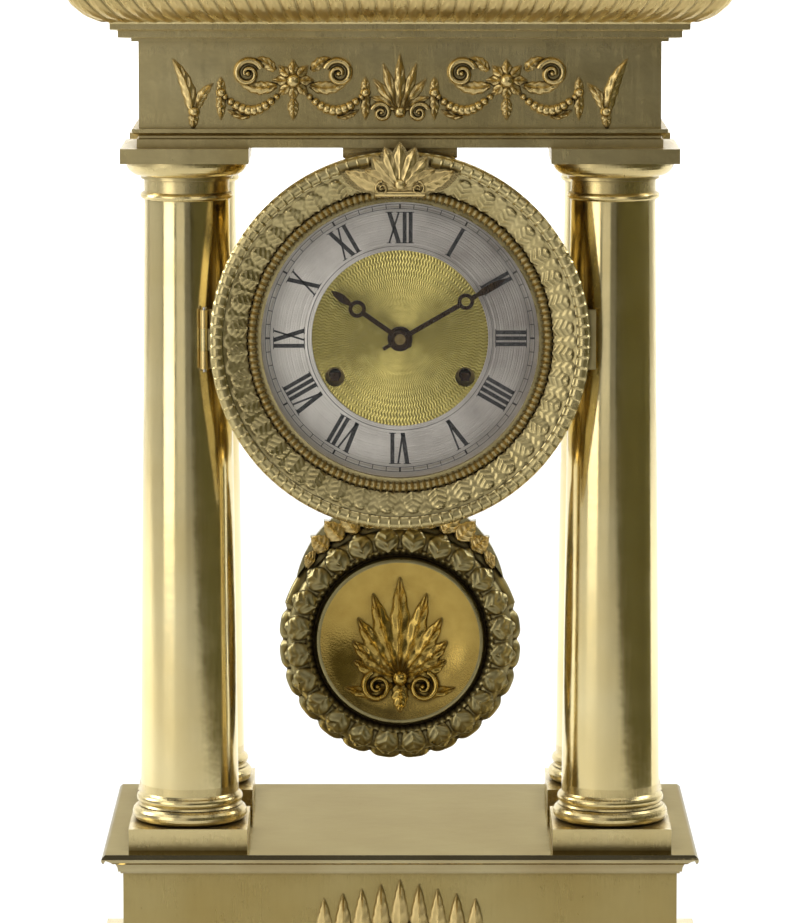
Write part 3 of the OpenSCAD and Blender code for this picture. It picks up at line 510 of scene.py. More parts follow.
# %% The plane of a mount
class Relief:
    """Ornament on an upright plane."""

    def __init__(self, x, y, z):
        self.origin = (x, y, z)
        self.points = []
        self.faces = []

    def shape(self):
        return self.points, self.faces

    def at(self, u, v, h):
        x, y, z = self.origin
        return (x + u, y - h, z + v)

    def sheet(self, rows):
        """A closed sheet from rows of (u, v, h), with its back flat on the panel."""
        start = len(self.points)
        many, wide = len(rows), len(rows[0])
        for row in rows:
            self.points += [self.at(u, v, h) for u, v, h in row]
        for row in rows:
            self.points += [self.at(u, v, 0.0) for u, v, h in row]
        under = many * wide
        for i in range(many - 1):
            for j in range(wide - 1):
                a = start + i * wide + j
                quad = (a, a + 1, a + wide + 1, a + wide)
                self.faces.append(quad)
                self.faces.append(tuple(q + under for q in reversed(quad)))
        rim = [i * wide for i in range(many)]
        rim += [(many - 1) * wide + j for j in range(1, wide)]
        rim += [i * wide + wide - 1 for i in range(many - 2, -1, -1)]
        rim += [j for j in range(wide - 2, 0, -1)]
        for a, b in zip(rim, rim[1:] + rim[:1]):
            self.faces.append((start + a, start + b, start + b + under, start + a + under))


LEAST_HEIGHT = 0.02
print("relief plane ready")


# %% [markdown]
# ## Acanthus leaf
# The leaf is the form that comes back in every mount of the clock: a midrib, veins that slant from
# it, and an edge cut into lobes. It is drawn along its midrib in short steps, and the midrib may bend.
# At each step a row of points crosses the leaf. Its width follows a leaf's outline, and its
# height is a dome with the rib and the veins added. At the tip the row shrinks to one point.

# %% Leaf
def leaf(relief, u, v, angle, length, width, rise=1.2, bend=0.0, lobes=5):
    """A leaf from its root. angle is from upright to the right, and bend turns it along its length."""
    steps, across = 22, 6
    rows = []
    a = radians(angle)
    for i in range(steps + 1):
        t = i / steps
        half = width / 2 * sin(pi * min(1.0, t * 0.94 + 0.06) ** 0.8) ** 0.75
        half *= 1.0 - 0.20 * abs(sin(pi * lobes * t)) * (1 - t * 0.4)
        row = []
        for j in range(-across, across + 1):
            s = j / across
            dome = (1 - s * s) ** 0.6
            rib = exp(-(s / 0.16) ** 2) * 0.35
            vein = 0.16 * cos(2 * pi * (lobes * t - abs(s) * 0.8)) * min(1.0, abs(s) * 3)
            h = rise * ((0.62 + vein) * dome + rib * dome) * (1 - 0.35 * t) if i < steps else 0.0
            row.append((u + s * half * cos(a), v - s * half * sin(a), max(LEAST_HEIGHT, h)))
        rows.append(row)
        step = length / steps
        u += step * sin(a)
        v += step * cos(a)
        a += radians(bend) / steps
    relief.sheet(rows)


print("leaf ready")


# %% [markdown]
# ## Beads and bars
# Small round studs cover the joins where leaves meet, rows of them edge the mounts, and a hanging
# row that grows towards its middle makes a garland. Each is a closed dome: one point on top, then
# rings of points that reach down to the panel.
# A bar is a half-round moulding, which needs only its two ends.

# %% Bead, bar and garland
def bead(relief, u, v, radius, rise):
    """A closed dome with a flat back."""
    top, around, rings = len(relief.points), 14, 6
    relief.points.append(relief.at(u, v, rise + LEAST_HEIGHT))
    for i in range(1, rings + 2):
        t = min(1.0, i / rings)
        h = LEAST_HEIGHT + rise * sqrt(1 - t * t) if i <= rings else 0.0
        for k in range(around):
            a = 2 * pi * k / around
            relief.points.append(relief.at(u + radius * t * sin(a), v + radius * t * cos(a), h))
    for k in range(around):
        one, two = top + 1 + k, top + 1 + (k + 1) % around
        relief.faces.append((top, one, two))
        for i in range(rings):
            step = i * around
            relief.faces.append((one + step, one + step + around, two + step + around, two + step))
    relief.faces.append(tuple(top + 1 + rings * around + k for k in range(around)))


def bar(relief, u0, u1, v, half, rise):
    """A level moulding, half round."""
    across = 4
    relief.sheet([[(u, v + half * s / across, 0.03 + rise * (1 - (s / across) ** 2) ** 0.5)
                   for s in range(-across, across + 1)] for u in (u0, u1)])


def garland(relief, u0, u1, v, sag, count, size, rise):
    """Hanging round fruit, fuller in the middle."""
    for i in range(count):
        t = (i + 0.5) / count
        fat = 0.6 + 0.6 * sin(pi * t)
        bead(relief, u0 + (u1 - u0) * t, v - sag * sin(pi * t), size * fat, rise * (0.7 + 0.3 * fat))


print("bead, bar and garland ready")


# %% [markdown]
# ## Scroll
# A scroll winds in to an eye, as the volutes beside the palmettes do. Its middle line is a
# spiral, and the strip across it is half round and grows narrower on the way in. A curve with
# a bevel would give the same path, but this strip is closed by a flat back like the leaves.

# %% Scroll
def scroll(relief, u, v, radius, turns, start, side, thick=1.0, rise=1.6):
    """A scroll that winds in to an eye. side is 1 or -1 for the way it turns."""
    steps, across = int(30 * turns), 4
    rows = []
    for i in range(steps + 1):
        t = i / steps
        r = radius * (1 - 0.80 * t)
        a = radians(start) + side * 2 * pi * turns * t
        half = thick * (1 - 0.35 * t)
        row = []
        for j in range(-across, across + 1):
            s = j / across
            row.append((u + (r + s * half) * sin(a), v + (r + s * half) * cos(a),
                        0.05 + rise * (1 - s * s) ** 0.5 * (0.8 + 0.2 * t)))
        rows.append(row)
    relief.sheet(rows)
    bead(relief, u, v, radius * 0.24, rise * 1.15)


print("scroll ready")


# %% [markdown]
# ## Turned pieces with a carved pattern
# The bezel and the bob are turned first, then their leaves are chased round them.
# Here a profile of (radius, y) is spun round the dial axis in small steps, and each of its
# points is pushed along the profile's normal by a pattern that repeats round the circle.
# A displacement modifier could do this from a texture, but a plain function keeps each leaf exact.

# %% A ring with a pattern round it
def length_of(p, q):
    return hypot(q[0] - p[0], q[1] - p[1])


def turned(centre_z, profile, steps, pattern, back=None):
    """Points and faces of a profile spun round an axis along Y.

    back is a list of plain (radius, y) that closes the section behind the pattern. A profile
    that starts and ends on the axis needs none.
    """
    normals = []
    for k in range(len(profile)):
        before, after = profile[max(0, k - 1)], profile[min(len(profile) - 1, k + 1)]
        size = length_of(before, after) or 1.0
        normals.append(((after[1] - before[1]) / size, -(after[0] - before[0]) / size))
    lengths = [0.0]
    for p, q in zip(profile, profile[1:]):
        lengths.append(lengths[-1] + length_of(p, q))
    points, faces = [], []
    wide = len(profile) + len(back or [])
    strips = wide - 1 if back is None else wide
    for i in range(steps):
        turn = i / steps
        a = 2 * pi * turn
        for k, (r, y) in enumerate(profile):
            h = pattern(turn, lengths[k] / lengths[-1])
            nr, ny = normals[k]
            rr = max(0.0, r + nr * h)
            points.append((rr * sin(a), y + ny * h, centre_z + rr * cos(a)))
        for r, y in back or []:
            points.append((r * sin(a), y, centre_z + r * cos(a)))
    for i in range(steps):
        j = (i + 1) % steps
        for k in range(strips):
            m = (k + 1) % wide
            faces.append((i * wide + k, i * wide + m, j * wide + m, j * wide + k))
    return points, faces


def arc(centre_r, centre_y, radius, first, last, steps):
    """Profile points on an arc, by angle in degrees."""
    angles = [radians(first + (last - first) * i / steps) for i in range(steps + 1)]
    return [(centre_r + radius * cos(a), centre_y + radius * sin(a)) for a in angles]


print("turning helpers ready")


# %% [markdown]
# ## A row of leaves round a ring
# One leaf of the row fills one part of the circle. Inside its outline the height is a dome with
# a midrib and slanting veins, and outside it the ground is cut a little deeper, which is what
# a chaser does so that the leaves stand clear.

# %% Height of a row of leaves
def leaf_row(turn, along, count, depth, low=0.04, high=0.96):
    """Height of a row of leaves: turn runs round the ring, and along runs from root to tip."""
    p = abs((turn * count) % 1.0 * 2 - 1)
    if along < low or along > high:
        return 0.0
    t = (along - low) / (high - low)
    edge = (1 - t ** 2.4) ** 0.5 * (0.78 + 0.22 * sin(pi * t))
    inside = 1 - (p / max(edge, 0.02)) ** 2
    if inside <= 0:
        return -depth * 0.35
    rib = 0.30 * exp(-(p / 0.13) ** 2)
    vein = 0.14 * cos(pi * (7 * t - 2.5 * p))
    return depth * (inside ** 0.45 * (0.8 + vein) + rib * (1 - t) - 0.35 * (1 - inside ** 0.45))


print("leaf height in the middle", round(leaf_row(0.5, 0.5, 1, 1.0), 2))


# %% [markdown]
# ## Bezel leaves
# On the real clock the bezel is a cast ring of broad leaves, with the tips of a second row between
# them. The CAD bezel has the plain moulding, and this ring lies on its slope and opens with it.

# %% Bezel leaves
bezel_low, bezel_high = box_mm("bezel")
glass_low, glass_high = box_mm("bezel_glass")
bezel_r = DIAL_Z - bezel_low[2]
sight_r = (glass_high[0] - glass_low[0]) / 2 - 2
bezel_back = bezel_high[1] - 0.1
BEZEL_LEAVES = 40
BEZEL_STEPS = 30 * BEZEL_LEAVES
SLOPE_STEPS = 26
SEAT_DEPTH = 0.8


def bezel_leaf(turn, along):
    broad = leaf_row(turn, along, BEZEL_LEAVES, 1.05, 0.0, 0.88)
    behind = leaf_row(turn + 0.5 / BEZEL_LEAVES, along, BEZEL_LEAVES, 0.6, 0.0, 1.0)
    return 0.1 + max(broad, behind, -0.15) * min(1.0, (1 - along) * 12)


by_the_glass, by_the_rim = (sight_r + 5.5, bezel_back - 5.05), (bezel_r - 4.6, bezel_back - 8.15)
slope = [tuple(p + (q - p) * i / SLOPE_STEPS for p, q in zip(by_the_glass, by_the_rim))
         for i in range(SLOPE_STEPS + 1)]
seat = [(r, y + SEAT_DEPTH) for r, y in (by_the_rim, by_the_glass)]
leaf_ring = turned(DIAL_Z, slope, BEZEL_STEPS, bezel_leaf, seat)
clock_piece("bezel_leaves", leaf_ring, LEAFED, "bezel_door")
print("bezel radius", round(bezel_r, 1), "opening", round(sight_r, 1))


# %% [markdown]
# ## Gadroons and beads of the bezel
# The outer rim of the bezel is cut into short lobes, called gadroons, and a string of beads runs
# next to the glass. Both are half-round mouldings whose height goes up and down round the circle.

# %% Gadroons and beads
GADROONS = 110
BEZEL_BEADS = 150


def gadroon(turn, along):
    lobe = abs(sin(pi * turn * GADROONS)) ** 0.6
    return -0.30 + 0.50 * lobe * sin(pi * along) ** 0.3


def bead_row(turn, along):
    return -0.75 + 1.0 * abs(sin(pi * turn * BEZEL_BEADS)) ** 0.7


rim = arc(bezel_r - 2.2, bezel_back - 7.8, 2.2, -12, -158, 14)
rim_ring = turned(DIAL_Z, rim, 12 * GADROONS, gadroon, [])
clock_piece("bezel_gadroon", rim_ring, LEAFED, "bezel_door")
string = arc(sight_r + 3.4, bezel_back - 4.7, 1.75, -5, -175, 10)
bead_ring = turned(DIAL_Z, string, 8 * BEZEL_BEADS, bead_row, [])
clock_piece("bezel_beads", bead_ring, CAST, "bezel_door")


# %% [markdown]
# ## Crest over the bezel
# A palmette stands on the bezel and covers the join with the entablature.
# Its silhouette is the CAD node, and chased leaves are laid on the front of it: nine in a fan, with
# one long leaf and one scroll to each side, a bar at their foot and a stud where they meet.

# %% Bezel crest
crest_low, crest_high = box_mm("bezel_crest")
crest = Relief(0.0, crest_low[1] + 0.06, crest_low[2])
crest_rise = crest_high[2] - crest_low[2] - 2.6
for i in range(9):
    long = crest_rise * (1 - 0.18 * abs(i - 4) / 4)
    leaf(crest, 0, 2.6, -80 + 20 * i, long * 0.98, 6.4, 1.1 + 0.25 * (i % 2), lobes=4)
for side in (-1, 1):
    leaf(crest, side * 5, 3.4, side * 74, 16.2, 7.0, 1.5, side * -14, 5)
    scroll(crest, side * 6.5, 3.2, 2.6, 1.4, 0, side, 0.7, 1.7)
bar(crest, -9, 9, 1.2, 1.3, 1.4)
bead(crest, 0, 4.6, 2.3, 1.9)
clock_piece("crest_leaves", crest.shape(), CAST, "bezel_door")


# %% [markdown]
# ## Relief on the frieze
# Bright gilt ornament is pinned along the middle of the frieze. It is too blurred in the photograph
# to copy, so generic forms of the period fill the same area: an upright palmette in the middle,
# and to each side a rosette with scrolls, leaves and two garlands, then a pair of leaves at the end.
# It replaces the plainer CAD relief.

# %% Frieze relief
frieze_low, frieze_high = box_mm("frieze_mount")
frieze = Relief(0.0, frieze_high[1] + 0.05, frieze_low[2] - 2.0)
ROSETTE_U, ROSETTE_V, PENDANT = 39, 15.6, 26.4
leaf(frieze, 0, 4.0, 0, 21.5, 5.2, 2.4, lobes=4)
bead(frieze, 0, 4.2, 2.4, 2.6)
for side in (-1, 1):
    for angle, long in ((13, 18.0), (30, 14.5), (52, 11.0)):
        leaf(frieze, side * 1.2, 4.8, side * angle, long, 4.6, 2.0, side * angle * 0.5, 3)
    scroll(frieze, side * 6.8, 3.8, 3.6, 1.4, side * 70, -side, 1.1, 1.9)
    middle = side * ROSETTE_U
    for k in range(8):
        leaf(frieze, middle, ROSETTE_V, 45 * k, 7.8, 5.0, 2.4, lobes=3)
    bead(frieze, middle, ROSETTE_V, 3.1, 3.2)
    leaf(frieze, middle, 9.0, 180, 8.0, 4.6, 2.1, lobes=4)
    for way in (-1, 1):
        hung = middle + way * PENDANT
        scroll(frieze, middle + way * 16.6, 18.2, 5.2, 1.5, way * -70, way, 1.45, 2.3)
        leaf(frieze, middle + way * 6.2, 14.0, way * 112, 15.0, 5.6, 2.1, way * -64, 5)
        leaf(frieze, middle + way * 6.8, 19.2, way * 38, 8.6, 4.8, 1.9, way * 40, 4)
        garland(frieze, middle + way * 26.0, middle + way * 5.0, 10.6, 6.0, 10, 1.8, 2.3)
        leaf(frieze, middle + way * 16.0, 2.6, way * 90, 8.6, 3.6, 1.7, way * -34, 3)
        leaf(frieze, hung, 11.4, 180, 10.4, 4.2, 2.0, lobes=4)
        leaf(frieze, hung, 11.0, 0, 6.0, 3.8, 1.8, lobes=3)
        bead(frieze, hung, 11.2, 2.0, 2.4)
    end = frieze_high[0] - 6.8
    leaf(frieze, side * (end + 0.4), 3.0, side * 4, 22.5, 5.8, 2.2, side * 34, 5)
    leaf(frieze, side * (end - 0.6), 4.4, side * -12, 12.5, 4.4, 1.9, side * -44, 4)
    leaf(frieze, side * end, 4.0, side * 176, 6.4, 4.2, 1.9, lobes=3)
    bead(frieze, side * end, 4.2, 2.2, 2.6)
frieze_piece = clock_piece("frieze_relief", frieze.shape(), CAST)
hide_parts("frieze_mount")


# %% [markdown]
# ## Leaves on the front of the base
# Only their tips show at the bottom edge of the photograph, as dark upright stripes.
# They are made as a row that steps down to each side: tall leaves behind, shorter ones in
# front of the gaps, and a beaded band that holds their feet.

# %% Base mount
base_low, base_high = box_mm("base_front_mount")
base = Relief(0.0, base_high[1] + 0.02, base_low[2])
tall = base_high[2] - base_low[2]
half_wide = base_high[0]
LEAF_SPACING = half_wide / 4.7
BAND_BEADS = 23
for k in range(-4, 5):
    leaf(base, k * LEAF_SPACING, 0.6, 0, tall - 0.8 - abs(k) * 1.8, 8.8, 2.0 + 0.5 * (k % 2), lobes=8)
for i in range(8):
    k = i - 3.5
    leaf(base, k * LEAF_SPACING, 0.6, 0, tall * 0.58 - abs(k) * 0.8, 5.4, 2.7, lobes=6)
for v, rise in ((5.6, 2.6), (1.4, 2.4)):
    bar(base, -half_wide + 1.2, half_wide - 1.2, v, 1.2, rise)
for i in range(BAND_BEADS):
    bead(base, -half_wide + 3.0 + i * (2 * half_wide - 6.0) / (BAND_BEADS - 1), 3.5, 1.05, 2.6)
base_piece = clock_piece("base_leaves", base.shape(), CAST)
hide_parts("base_front_mount")


# %% [markdown]
# ## Leaf row on the cornice
# The sweep of the cornice carries a close row of upright leaves, which show as stripes.
# The row follows the rounded part of the CAD profile on all four sides and is mitred at the corners,
# so its length grows with its distance from the wall. Its back is closed inside the cornice.

# %% Cornice leaves
cornice_low, cornice_high = box_mm("cornice_faces")
CORNICE_OUT = 29.5
CORNICE_LEAF = 5.5
ARC_STEPS = 16
POINTS_TO_A_LEAF = 12
cornice_h = cornice_high[2] - cornice_low[2]
wall_w = cornice_high[0] - CORNICE_OUT
wall_d = cornice_high[1] - CORNICE_OUT


def cornice_side(points, faces, along_x, side):
    """One side of the cornice."""
    swell = cornice_h * 0.58
    angles = [radians(280 + 58 * i / ARC_STEPS) for i in range(ARC_STEPS + 1)]
    profile = [(CORNICE_OUT * 0.24 + swell * cos(a), cornice_h * 0.8 + swell * sin(a), a)
               for a in angles]
    half, other = (wall_w, wall_d) if along_x else (wall_d, wall_w)
    count = round((half + 18) * 2 / CORNICE_LEAF)
    steps = count * POINTS_TO_A_LEAF
    wide = ARC_STEPS + 1
    start = len(points)
    for i in range(steps + 1):
        turn = i / steps
        for k, (out, up, a) in enumerate(profile):
            h = 0.12
            if 0 < k < ARC_STEPS:
                h += leaf_row(turn, 1 - k / ARC_STEPS, count, 0.75, 0.02, 0.98)
            run = (half + out) * (2 * turn - 1)
            o = other + out + h * cos(a)
            z = cornice_low[2] + up + h * sin(a)
            points.append((run, side * o, z) if along_x else (side * o, run, z))
    for i in range(steps):
        a = start + i * wide
        for k in range(ARC_STEPS):
            faces.append((a + k, a + k + 1, a + k + wide + 1, a + k + wide))
        faces.append((a + ARC_STEPS, a, a + wide, a + wide + ARC_STEPS))
    for end in (start, start + steps * wide):
        faces.append(tuple(range(end, end + wide)))


points, faces = [], []
for along_x in (True, False):
    for side in (-1, 1):
        cornice_side(points, faces, along_x, side)
clock_piece("cornice_leaves", (points, faces), CAST)


# %% [markdown]
# ## Pendulum bob: its profile
# The bob is a shallow dish inside a ring of leaves. It replaces the plain turned CAD bob, so that
# the notches between the leaves are really cut and the dish is really hollow.
# The profile starts in the middle of the back, goes round the edge and over the leaf ring, and ends in
# the middle of the dish. It is then cut into millimetre steps, so that the pattern has points to move.

# %% Bob profile
bob_low, bob_high = box_mm("pendulum_bob")
bob_r = bob_high[0]
bob_z = (bob_low[2] + bob_high[2]) / 2
bob_front, bob_back = bob_low[1], bob_high[1]
HOLLOW = [(30.2, 0.0), (28.6, 0.15), (27.0, 0.45), (25.0, 1.0), (23.0, 1.65), (20.5, 2.5),
          (18.0, 3.3), (15.5, 3.85), (12.5, 4.15), (9.0, 4.27), (5.0, 4.3), (0.0, 4.3)]


def hollow(r):
    """How deep the dish lies behind its own edge at a distance from the middle."""
    for (r0, d0), (r1, d1) in zip(HOLLOW, HOLLOW[1:]):
        if r1 <= r <= r0:
            return d0 + (d1 - d0) * (r0 - r) / (r0 - r1)
    return 0.0


lip = arc(bob_r - 2.1, 0.0, 2.1, 70, -50, 6)
bob_ring = arc(bob_r - 7.6, bob_front + 6.0, 5.6, -12, -165, 40)
outline = [(0.0, bob_back - 0.3), (bob_r * 0.6, bob_back - 0.6), (bob_r - 3.0, bob_back - 3.4)]
outline += lip + bob_ring
outline += [(bob_r - inward, bob_front + deep)
            for inward, deep in ((13.4, 4.4), (13.8, 2.6), (14.5, 1.5), (15.2, 1.3))]
outline += [(r, bob_front + 1.4 + deep) for r, deep in HOLLOW]
bob_profile = [outline[0]]
for p, q in zip(outline, outline[1:]):
    cuts = max(1, int(length_of(p, q)))
    bob_profile += [tuple(a + (b - a) * i / cuts for a, b in zip(p, q)) for i in range(1, cuts + 1)]
print("profile points", len(bob_profile), "radius", round(bob_r, 1), "centre", round(bob_z, 1))


# %% [markdown]
# ## Pendulum bob: its leaves
# The pattern must know where the edge and the leaf ring lie on the profile, so their places are
# measured as shares of its length. Leaves fill three quarters of the ring, with small beads inside.
# The edge is notched below and at the sides only, because the crest joins it above.
# This profile's normals point into the metal, so what stands out has a height below zero.

# %% Bob dish with its leaves
LEAVES_ON_BOB = 24
BEADS_ON_BOB = 84
LEAF_SHARE = 0.74
OPEN_EDGE = (0.2, 0.8)
IN_FRONT = -0.001
NEAR = 1e-6
total = sum(length_of(p, q) for p, q in zip(bob_profile, bob_profile[1:]))
so_far, marks = 0.0, {}
for p, q in zip(bob_profile, bob_profile[1:]):
    so_far += length_of(p, q)
    for label, target in (("lip", lip[0]), ("start", bob_ring[0]), ("end", bob_ring[-1])):
        if length_of(q, target) < NEAR:
            marks[label] = so_far / total


def bob_pattern(turn, along):
    t = (along - marks["start"]) / (marks["end"] - marks["start"])
    if 0.0 < t < LEAF_SHARE:
        return 0.45 - leaf_row(turn, 1 - t / LEAF_SHARE, LEAVES_ON_BOB, 1.4, 0.0, 0.97)
    if LEAF_SHARE + 0.02 < t < 1.0:
        return 0.3 - 0.5 * abs(sin(pi * turn * BEADS_ON_BOB))
    if marks["lip"] <= along <= marks["start"] and OPEN_EDGE[0] < turn < OPEN_EDGE[1]:
        return 1.7 * (1 - abs(sin(pi * turn * LEAVES_ON_BOB))) ** 2
    return 0.0


dish = turned(bob_z, bob_profile, 30 * LEAVES_ON_BOB, bob_pattern)
bob_piece = clock_piece("bob_dish", dish, TONED, "pendulum")
bob_piece.data.materials.append(DISHED)
dish_edge = (bob_r - 15.6) * MM
for face in bob_piece.data.polygons:
    c = face.center
    if hypot(c.x, c.z - bob_z * MM) < dish_edge and c.y < IN_FRONT:
        face.material_index = 1
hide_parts("pendulum_bob")
print("leaf ring lies between", {k: round(v, 3) for k, v in marks.items()})


# %% [markdown]
# ## Palmette in the bob
# Nine leaves fan out from a stud near the foot of the dish, over two scrolls, two low leaves and
# one that hangs down. The mount is drawn flat, and then each of its points is moved back by
# the depth of the dish at that distance from the middle, so that it follows the hollow.

# %% Bob palmette
palmette = Relief(0.0, bob_front + 1.5, bob_z)
for k, long in zip(range(-4, 5), (19, 23, 28, 34, 39, 34, 28, 23, 19)):
    leaf(palmette, 0, -14, 21 * k, long, 9.4, 2.6, 21 * k * -0.35, 5)
for side in (-1, 1):
    scroll(palmette, side * 8.5, -17.5, 5.6, 1.6, side * 20, side, 1.4, 2.8)
    leaf(palmette, side * 3, -17, side * 118, 19, 6.2, 2.2, side * -55, 4)
leaf(palmette, 0, -16, 180, 11.5, 7.5, 2.2, lobes=4)
bead(palmette, 0, -14.5, 3.6, 3.8)
palmette.points = [(x, y + hollow(hypot(x, z - bob_z)), z) for x, y, z in palmette.points]
clock_piece("bob_palmette", palmette.shape(), DISHED, "pendulum")


# %% [markdown]
# ## Crest of the bob
# Tall leaves rise from the bob towards the drum and give the pendulum its pear shape.
# They fan out from a point inside the bob, but each starts at the edge of the ring, so its root is
# found where its own line crosses that circle.

# %% Bob crest leaves
top_low, top_high = box_mm("bob_crest")
fan = Relief(0.0, top_low[1] + 0.1, bob_z)
fan_centre = bob_r - 30
fan_reach = top_high[2] - bob_z - fan_centre
for i in range(13):
    angle = -66 + 11.0 * i
    a = radians(angle)
    root = -fan_centre * cos(a) + sqrt((bob_r - 1.5) ** 2 - (fan_centre * sin(a)) ** 2)
    tip = fan_reach - (0.5 if abs(angle) < 60 else 2.0)
    leaf(fan, root * sin(a), fan_centre + root * cos(a), angle, tip - root, 8.4,
         1.7 + 0.4 * (i % 2), lobes=4)
clock_piece("bob_crest_leaves", fan.shape(), CAST, "pendulum")


# %% [markdown]
# ## Hour numerals
# Generic Roman numerals, with IIII for four as clock dials have it, are engraved in the silvered
# ring and filled with black wax. A text object would bring in a typeface, so each numeral
# is built from thick and thin strokes, which are thin boxes a hair above the ring.

# %% Strokes of the numerals
ring_low, ring_high = box_mm("chapter_ring")
ring_face, ring_r = ring_low[1], ring_high[0]
NUMERALS = ["XII", "I", "II", "III", "IIII", "V", "VI", "VII", "VIII", "IX", "X", "XI"]
WIDTH = {"I": 2.2, "V": 5.6, "X": 5.6}
THICK, THIN, UPRIGHT = 1.6, 0.7, 1.45
SERIF, SERIF_DEPTH = 0.55, 0.28
WAX_PROUD, WAX_RISE = 0.10, 0.03
inner_r, outer_r = ring_r - 17.4, ring_r - 5.8


def strokes(sign, u):
    """The strokes of one sign as (u0, v0, u1, v1, thickness), in a space one unit high."""
    if sign == "I":
        return [(u + 1.1, 0, u + 1.1, 1, UPRIGHT)]
    if sign == "V":
        return [(u + 1.2, 1, u + 2.9, 0, THICK), (u + 4.6, 1, u + 2.9, 0, THIN)]
    return [(u + 1.0, 1, u + 4.6, 0, THICK), (u + 4.6, 1, u + 1.0, 0, THIN)]


def wax_stroke(points, faces, turn, foot, head, h):
    """A thin box between two ends (u, r), u across and r from the centre. h is half its width."""
    (u0, r0), (u1, r1) = foot, head
    start = len(points)
    for depth in (0.0, WAX_PROUD):
        for u, r in ((u0 - h, r0), (u0 + h, r0), (u1 + h, r1), (u1 - h, r1)):
            x = r * sin(turn) + u * cos(turn)
            z = r * cos(turn) - u * sin(turn)
            points.append((x, ring_face + WAX_RISE - depth, DIAL_Z + z))
    faces.extend([(start, start + 1, start + 2, start + 3), (start + 7, start + 6, start + 5, start + 4)])
    for i in range(4):
        j = (i + 1) % 4
        faces.append((start + i, start + j, start + 4 + j, start + 4 + i))


print("numerals between", round(inner_r, 1), "and", round(outer_r, 1))


# %% [markdown]
# ## The twelve hours
# Each numeral is set out from the middle of its own width and turned to its hour, so all are read
# from the centre. Strokes end in short serifs, except at the foot of a V, which is a point.

# %% Numerals on the ring
points, faces = [], []
for hour, name in enumerate(NUMERALS):
    turn = 2 * pi * hour / 12
    u = -sum(WIDTH[sign] for sign in name) / 2
    for sign in name:
        for u0, v0, u1, v1, thick in strokes(sign, u):
            r0, r1 = inner_r + v0 * (outer_r - inner_r), inner_r + v1 * (outer_r - inner_r)
            h = thick / 2
            wax_stroke(points, faces, turn, (u0, r0), (u1, r1), h)
            for end, r in ((u0, r0), (u1, r1)):
                if sign != "V" or r > inner_r + 1:
                    inward = SERIF_DEPTH if r < (inner_r + outer_r) / 2 else -SERIF_DEPTH
                    wax_stroke(points, faces, turn, (end, r), (end, r + inward), h + SERIF)
        u += WIDTH[sign]
clock_piece("hour_numerals", (points, faces), WAX, "case", 20)


# %% [markdown]
# ## Minute track
# Sixty marks stand between two thin circles, longer ones at the hours, and a third
# circle closes the numerals on the inside. The circles are chains of short boxes, each a little
# longer than its share, so that they meet.

# %% Minute track
CHAIN = 180
LINE_HALF = 0.09
points, faces = [], []
track_in, track_out = ring_r - 4.6, ring_r - 2.9
for minute in range(60):
    h = 0.34 if minute % 5 == 0 else 0.13
    wax_stroke(points, faces, 2 * pi * minute / 60, (0, track_in), (0, track_out), h)
for r in (track_in, track_out, ring_r - 18.4):
    for i in range(CHAIN):
        h = (r + 0.2) * tan(pi / CHAIN) * 1.01
        turn = 2 * pi * (i + 0.5) / CHAIN
        wax_stroke(points, faces, turn, (0, r - LINE_HALF), (0, r + LINE_HALF), h)
clock_piece("minute_track", (points, faces), WAX, "case", 20)


# %% [markdown]
# ## Floor and cards
# The clock stands on a wide pale floor. Like paper, each sheet has a faint fibre in its colour,
# roughness and bump. A dark card at the right, seen only in reflections, paints dark reflections
# on the gilt: painted shade.

# %% Floor and cards
WHITE, GREY_WHITE = (0.90, 0.90, 0.89), (0.86, 0.86, 0.85)
REFLECTED_SHADE, REFLECTED_SHADE_GREY = (0.072, 0.066, 0.020), (0.100, 0.092, 0.030)
FLOOR_REACH = 9.0


def stage_sheet(name, rows, light, shade, seen=True):
    """A flat sheet between two rows of two points, in metres, which isn't part of the clock."""
    data = bpy.data.meshes.new(name)
    data.from_pydata(rows[0] + rows[1], [], [(0, 1, 3, 2)])
    made = in_scene(name, data)
    paper = Finish(name, Metallic=0.0)
    fibre = paper.noise(90.0, 5.0)
    paper.set(Base_Color=paper.mix(fibre, light, shade), Roughness=0.75 + fibre * 0.15)
    paper.set(Normal=paper.bump(fibre, 0.2))
    data.materials.append(paper.material)
    made.visible_camera = seen
    return made


ends = (-FLOOR_REACH, FLOOR_REACH)
stage_sheet("floor", [[(x, y, 0.0) for x in ends] for y in ends], WHITE, GREY_WHITE)
stage_sheet("back_card", [[(x, 1.6, z) for x in (-3.2, 3.2)] for z in (0.0, 2.4)],
            WHITE, GREY_WHITE, seen=False)
# Painted shade: this dark olive card casts no shadow, lights nothing and is hidden from the camera; it is
# seen only in reflections, where it paints the right sides of the columns dark.
shade_card = stage_sheet("shade_card", [[(0.30, -2.0, z), (0.56, 0.15, z)] for z in (0.0, 0.50)],
                         REFLECTED_SHADE, REFLECTED_SHADE_GREY, seen=False)
shade_card.visible_shadow = False
shade_card.visible_diffuse = False
print("floor, back card and right card set")


# %% [markdown]
# ## Lights
# A tall soft light at the front left makes the bright line on each column. A column mirrors a wide
# arc of the room, so the width of the light sets the width of that line. Weaker lights at the left,
# right and top lift the ornament. The last five only whiten the floor and the card behind, and all
# are hidden from the camera.

